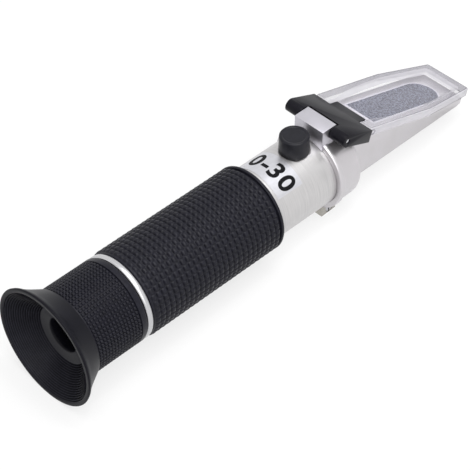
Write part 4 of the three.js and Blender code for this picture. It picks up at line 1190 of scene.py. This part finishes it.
plate_stations = [plate_rear, kink, plate_tip]
plate_halves = [11.6, plate_widest, 8.8]
plate_section = [(bottom, 0.1), (bottom + 0.3, 0), (top - 0.18, 0), (top, 0.18), (top, 0.5)]
slab = stacked("plate", plate_rings(plate_section, plate_stations, plate_halves, plate_corner))

foot_stations = [0, 8, 14, 22, recess_kink, plate_tip - 4.4]
foot_halves = [6.5, 6.5, 7.3, 8.1, 8.3, 5.8]
foot_section = [(recess_floor, 0.15), (recess_floor + 0.15, 0)]
brim_stations = [0, 8, 14, 22, recess_kink, plate_tip - 3.1]
brim_halves = [6.9, 6.95, 8.5, 9.3, 9.55, 7.1]
brim_section = [(top - 0.15, 0), (top, -0.25), (top + 2, -0.25)]
recess_rings = plate_rings(foot_section, foot_stations, foot_halves, recess_corner)
recess_rings += plate_rings(brim_section, brim_stations, brim_halves, recess_corner)
plate_mesh = smooth(cut(slab, stacked("recess", recess_rings)), angle=25)
print("recess:", round(top - recess_floor, 2), "mm deep")

# %% [markdown]
# A small ring near the hinge is the mark that the mould leaves on the plate's near side. It is turned
# upright, laid on its side against the plate, and set on the slope.

# %% Mould mark
mark_place = (4.6, -11.55, 1.6)
mark_section = [(-0.1, 0.95), (0.16, 0.95), (0.16, 0.6), (-0.1, 0.6)]
mark_mesh = smooth(turned("mark", mark_section, sides=40, upright=True), angle=40)
to_side = Matrix.Translation(Vector(mark_place) * MM) @ Matrix.Rotation(math.radians(90), 4, "X")
mark_mesh.transform(to_slope @ to_side)
# The mark takes the same dark finish, painted for refraction.
add_piece("mould_mark", mark_mesh, [acrylic_painted_refraction], "cover", "clear_acrylic")

# %% [markdown]
# Clear plastic shows mostly at its faces' edges and slopes. So the faces take their finishes by where they
# lie: the flat middle is clearest, the border is hazier, the walls of the recess and the plate's sides are
# pale, the outer edge is dark as painted refraction, and the foot near the tip carries a painted shadow of
# the gap under it.

# %% Finishes on the plate
CLEAR, BORDER, WALL, SIDE, EDGE, FOOT = range(6)
edge_band = 0.45
level = 0.93
painted_shadow_from = 40
clear_wall_to = 18


def plate_half(place):
    """Half the plate's width at a place down the slope, on straight lines to and from the kink."""
    i = 0 if place < kink else 1
    share = (place - plate_stations[i]) / (plate_stations[i + 1] - plate_stations[i])
    return plate_halves[i] + (plate_halves[i + 1] - plate_halves[i]) * share


def plate_finish(face):
    """Which finish a face of the plate has, from where it lies on the slope and how level it is."""
    s, y, height = face.center / MM
    at_end = s > plate_tip - edge_band or s < plate_rear + edge_band
    outside = at_end or abs(y) > plate_half(s) - edge_band
    if abs(face.normal.z) > level and height < bottom + 0.1:
        return CLEAR
    # The outer edge gets painted darkness that stands for the plastic's refraction.
    if outside and height > top - 0.01:
        return EDGE
    # The foot near the tip is painted with the shadow of the gap under it.
    if outside and height < bottom + 0.25 and s > painted_shadow_from:
        return FOOT
    if outside and height < top - 0.01:
        return SIDE
    if abs(face.normal.z) < level:
        return CLEAR if y < 0 and s < clear_wall_to else WALL
    return BORDER if height > top - 0.3 else CLEAR


for face in plate_mesh.polygons:
    face.material_index = plate_finish(face)
plate_mesh.transform(to_slope)
plate_finishes = [clear_acrylic, acrylic_border, acrylic_wall, acrylic_side, acrylic_painted_refraction, acrylic_painted_shadow]
add_piece("clear_plate", plate_mesh, plate_finishes, "cover", "clear_acrylic", "daylight_plate")

# %% [markdown]
# ## What lies inside
# The lenses, their rings, the scale glass and the strip that holds the objective show only through the
# glass, or with the cap off. Their solids stay and take the finish of their material.

# %% Inner pieces
finish_of_slot = {
    "grip_rubber": grip_rubber,
    "cup_rubber": cup_rubber,
    "black_plastic": black_plastic,
    "black_anodised": black_anodised,
    "satin_metal": satin_tube,
    "polished_metal": polished_metal,
    "steel": steel,
    "brass": brass,
    "lens_glass": lens_glass,
    "prism_glass": ground_glass,
    "clear_acrylic": clear_acrylic,
}
slots = {part["node"]: part["material_slot"] for part in frame["record"]["subparts"]}
for name, node in nodes.items():
    node.data.materials.clear()
    node.data.materials.append(finish_of_slot[slots[name]].material)
print(len(nodes), "packed nodes carry a finish")
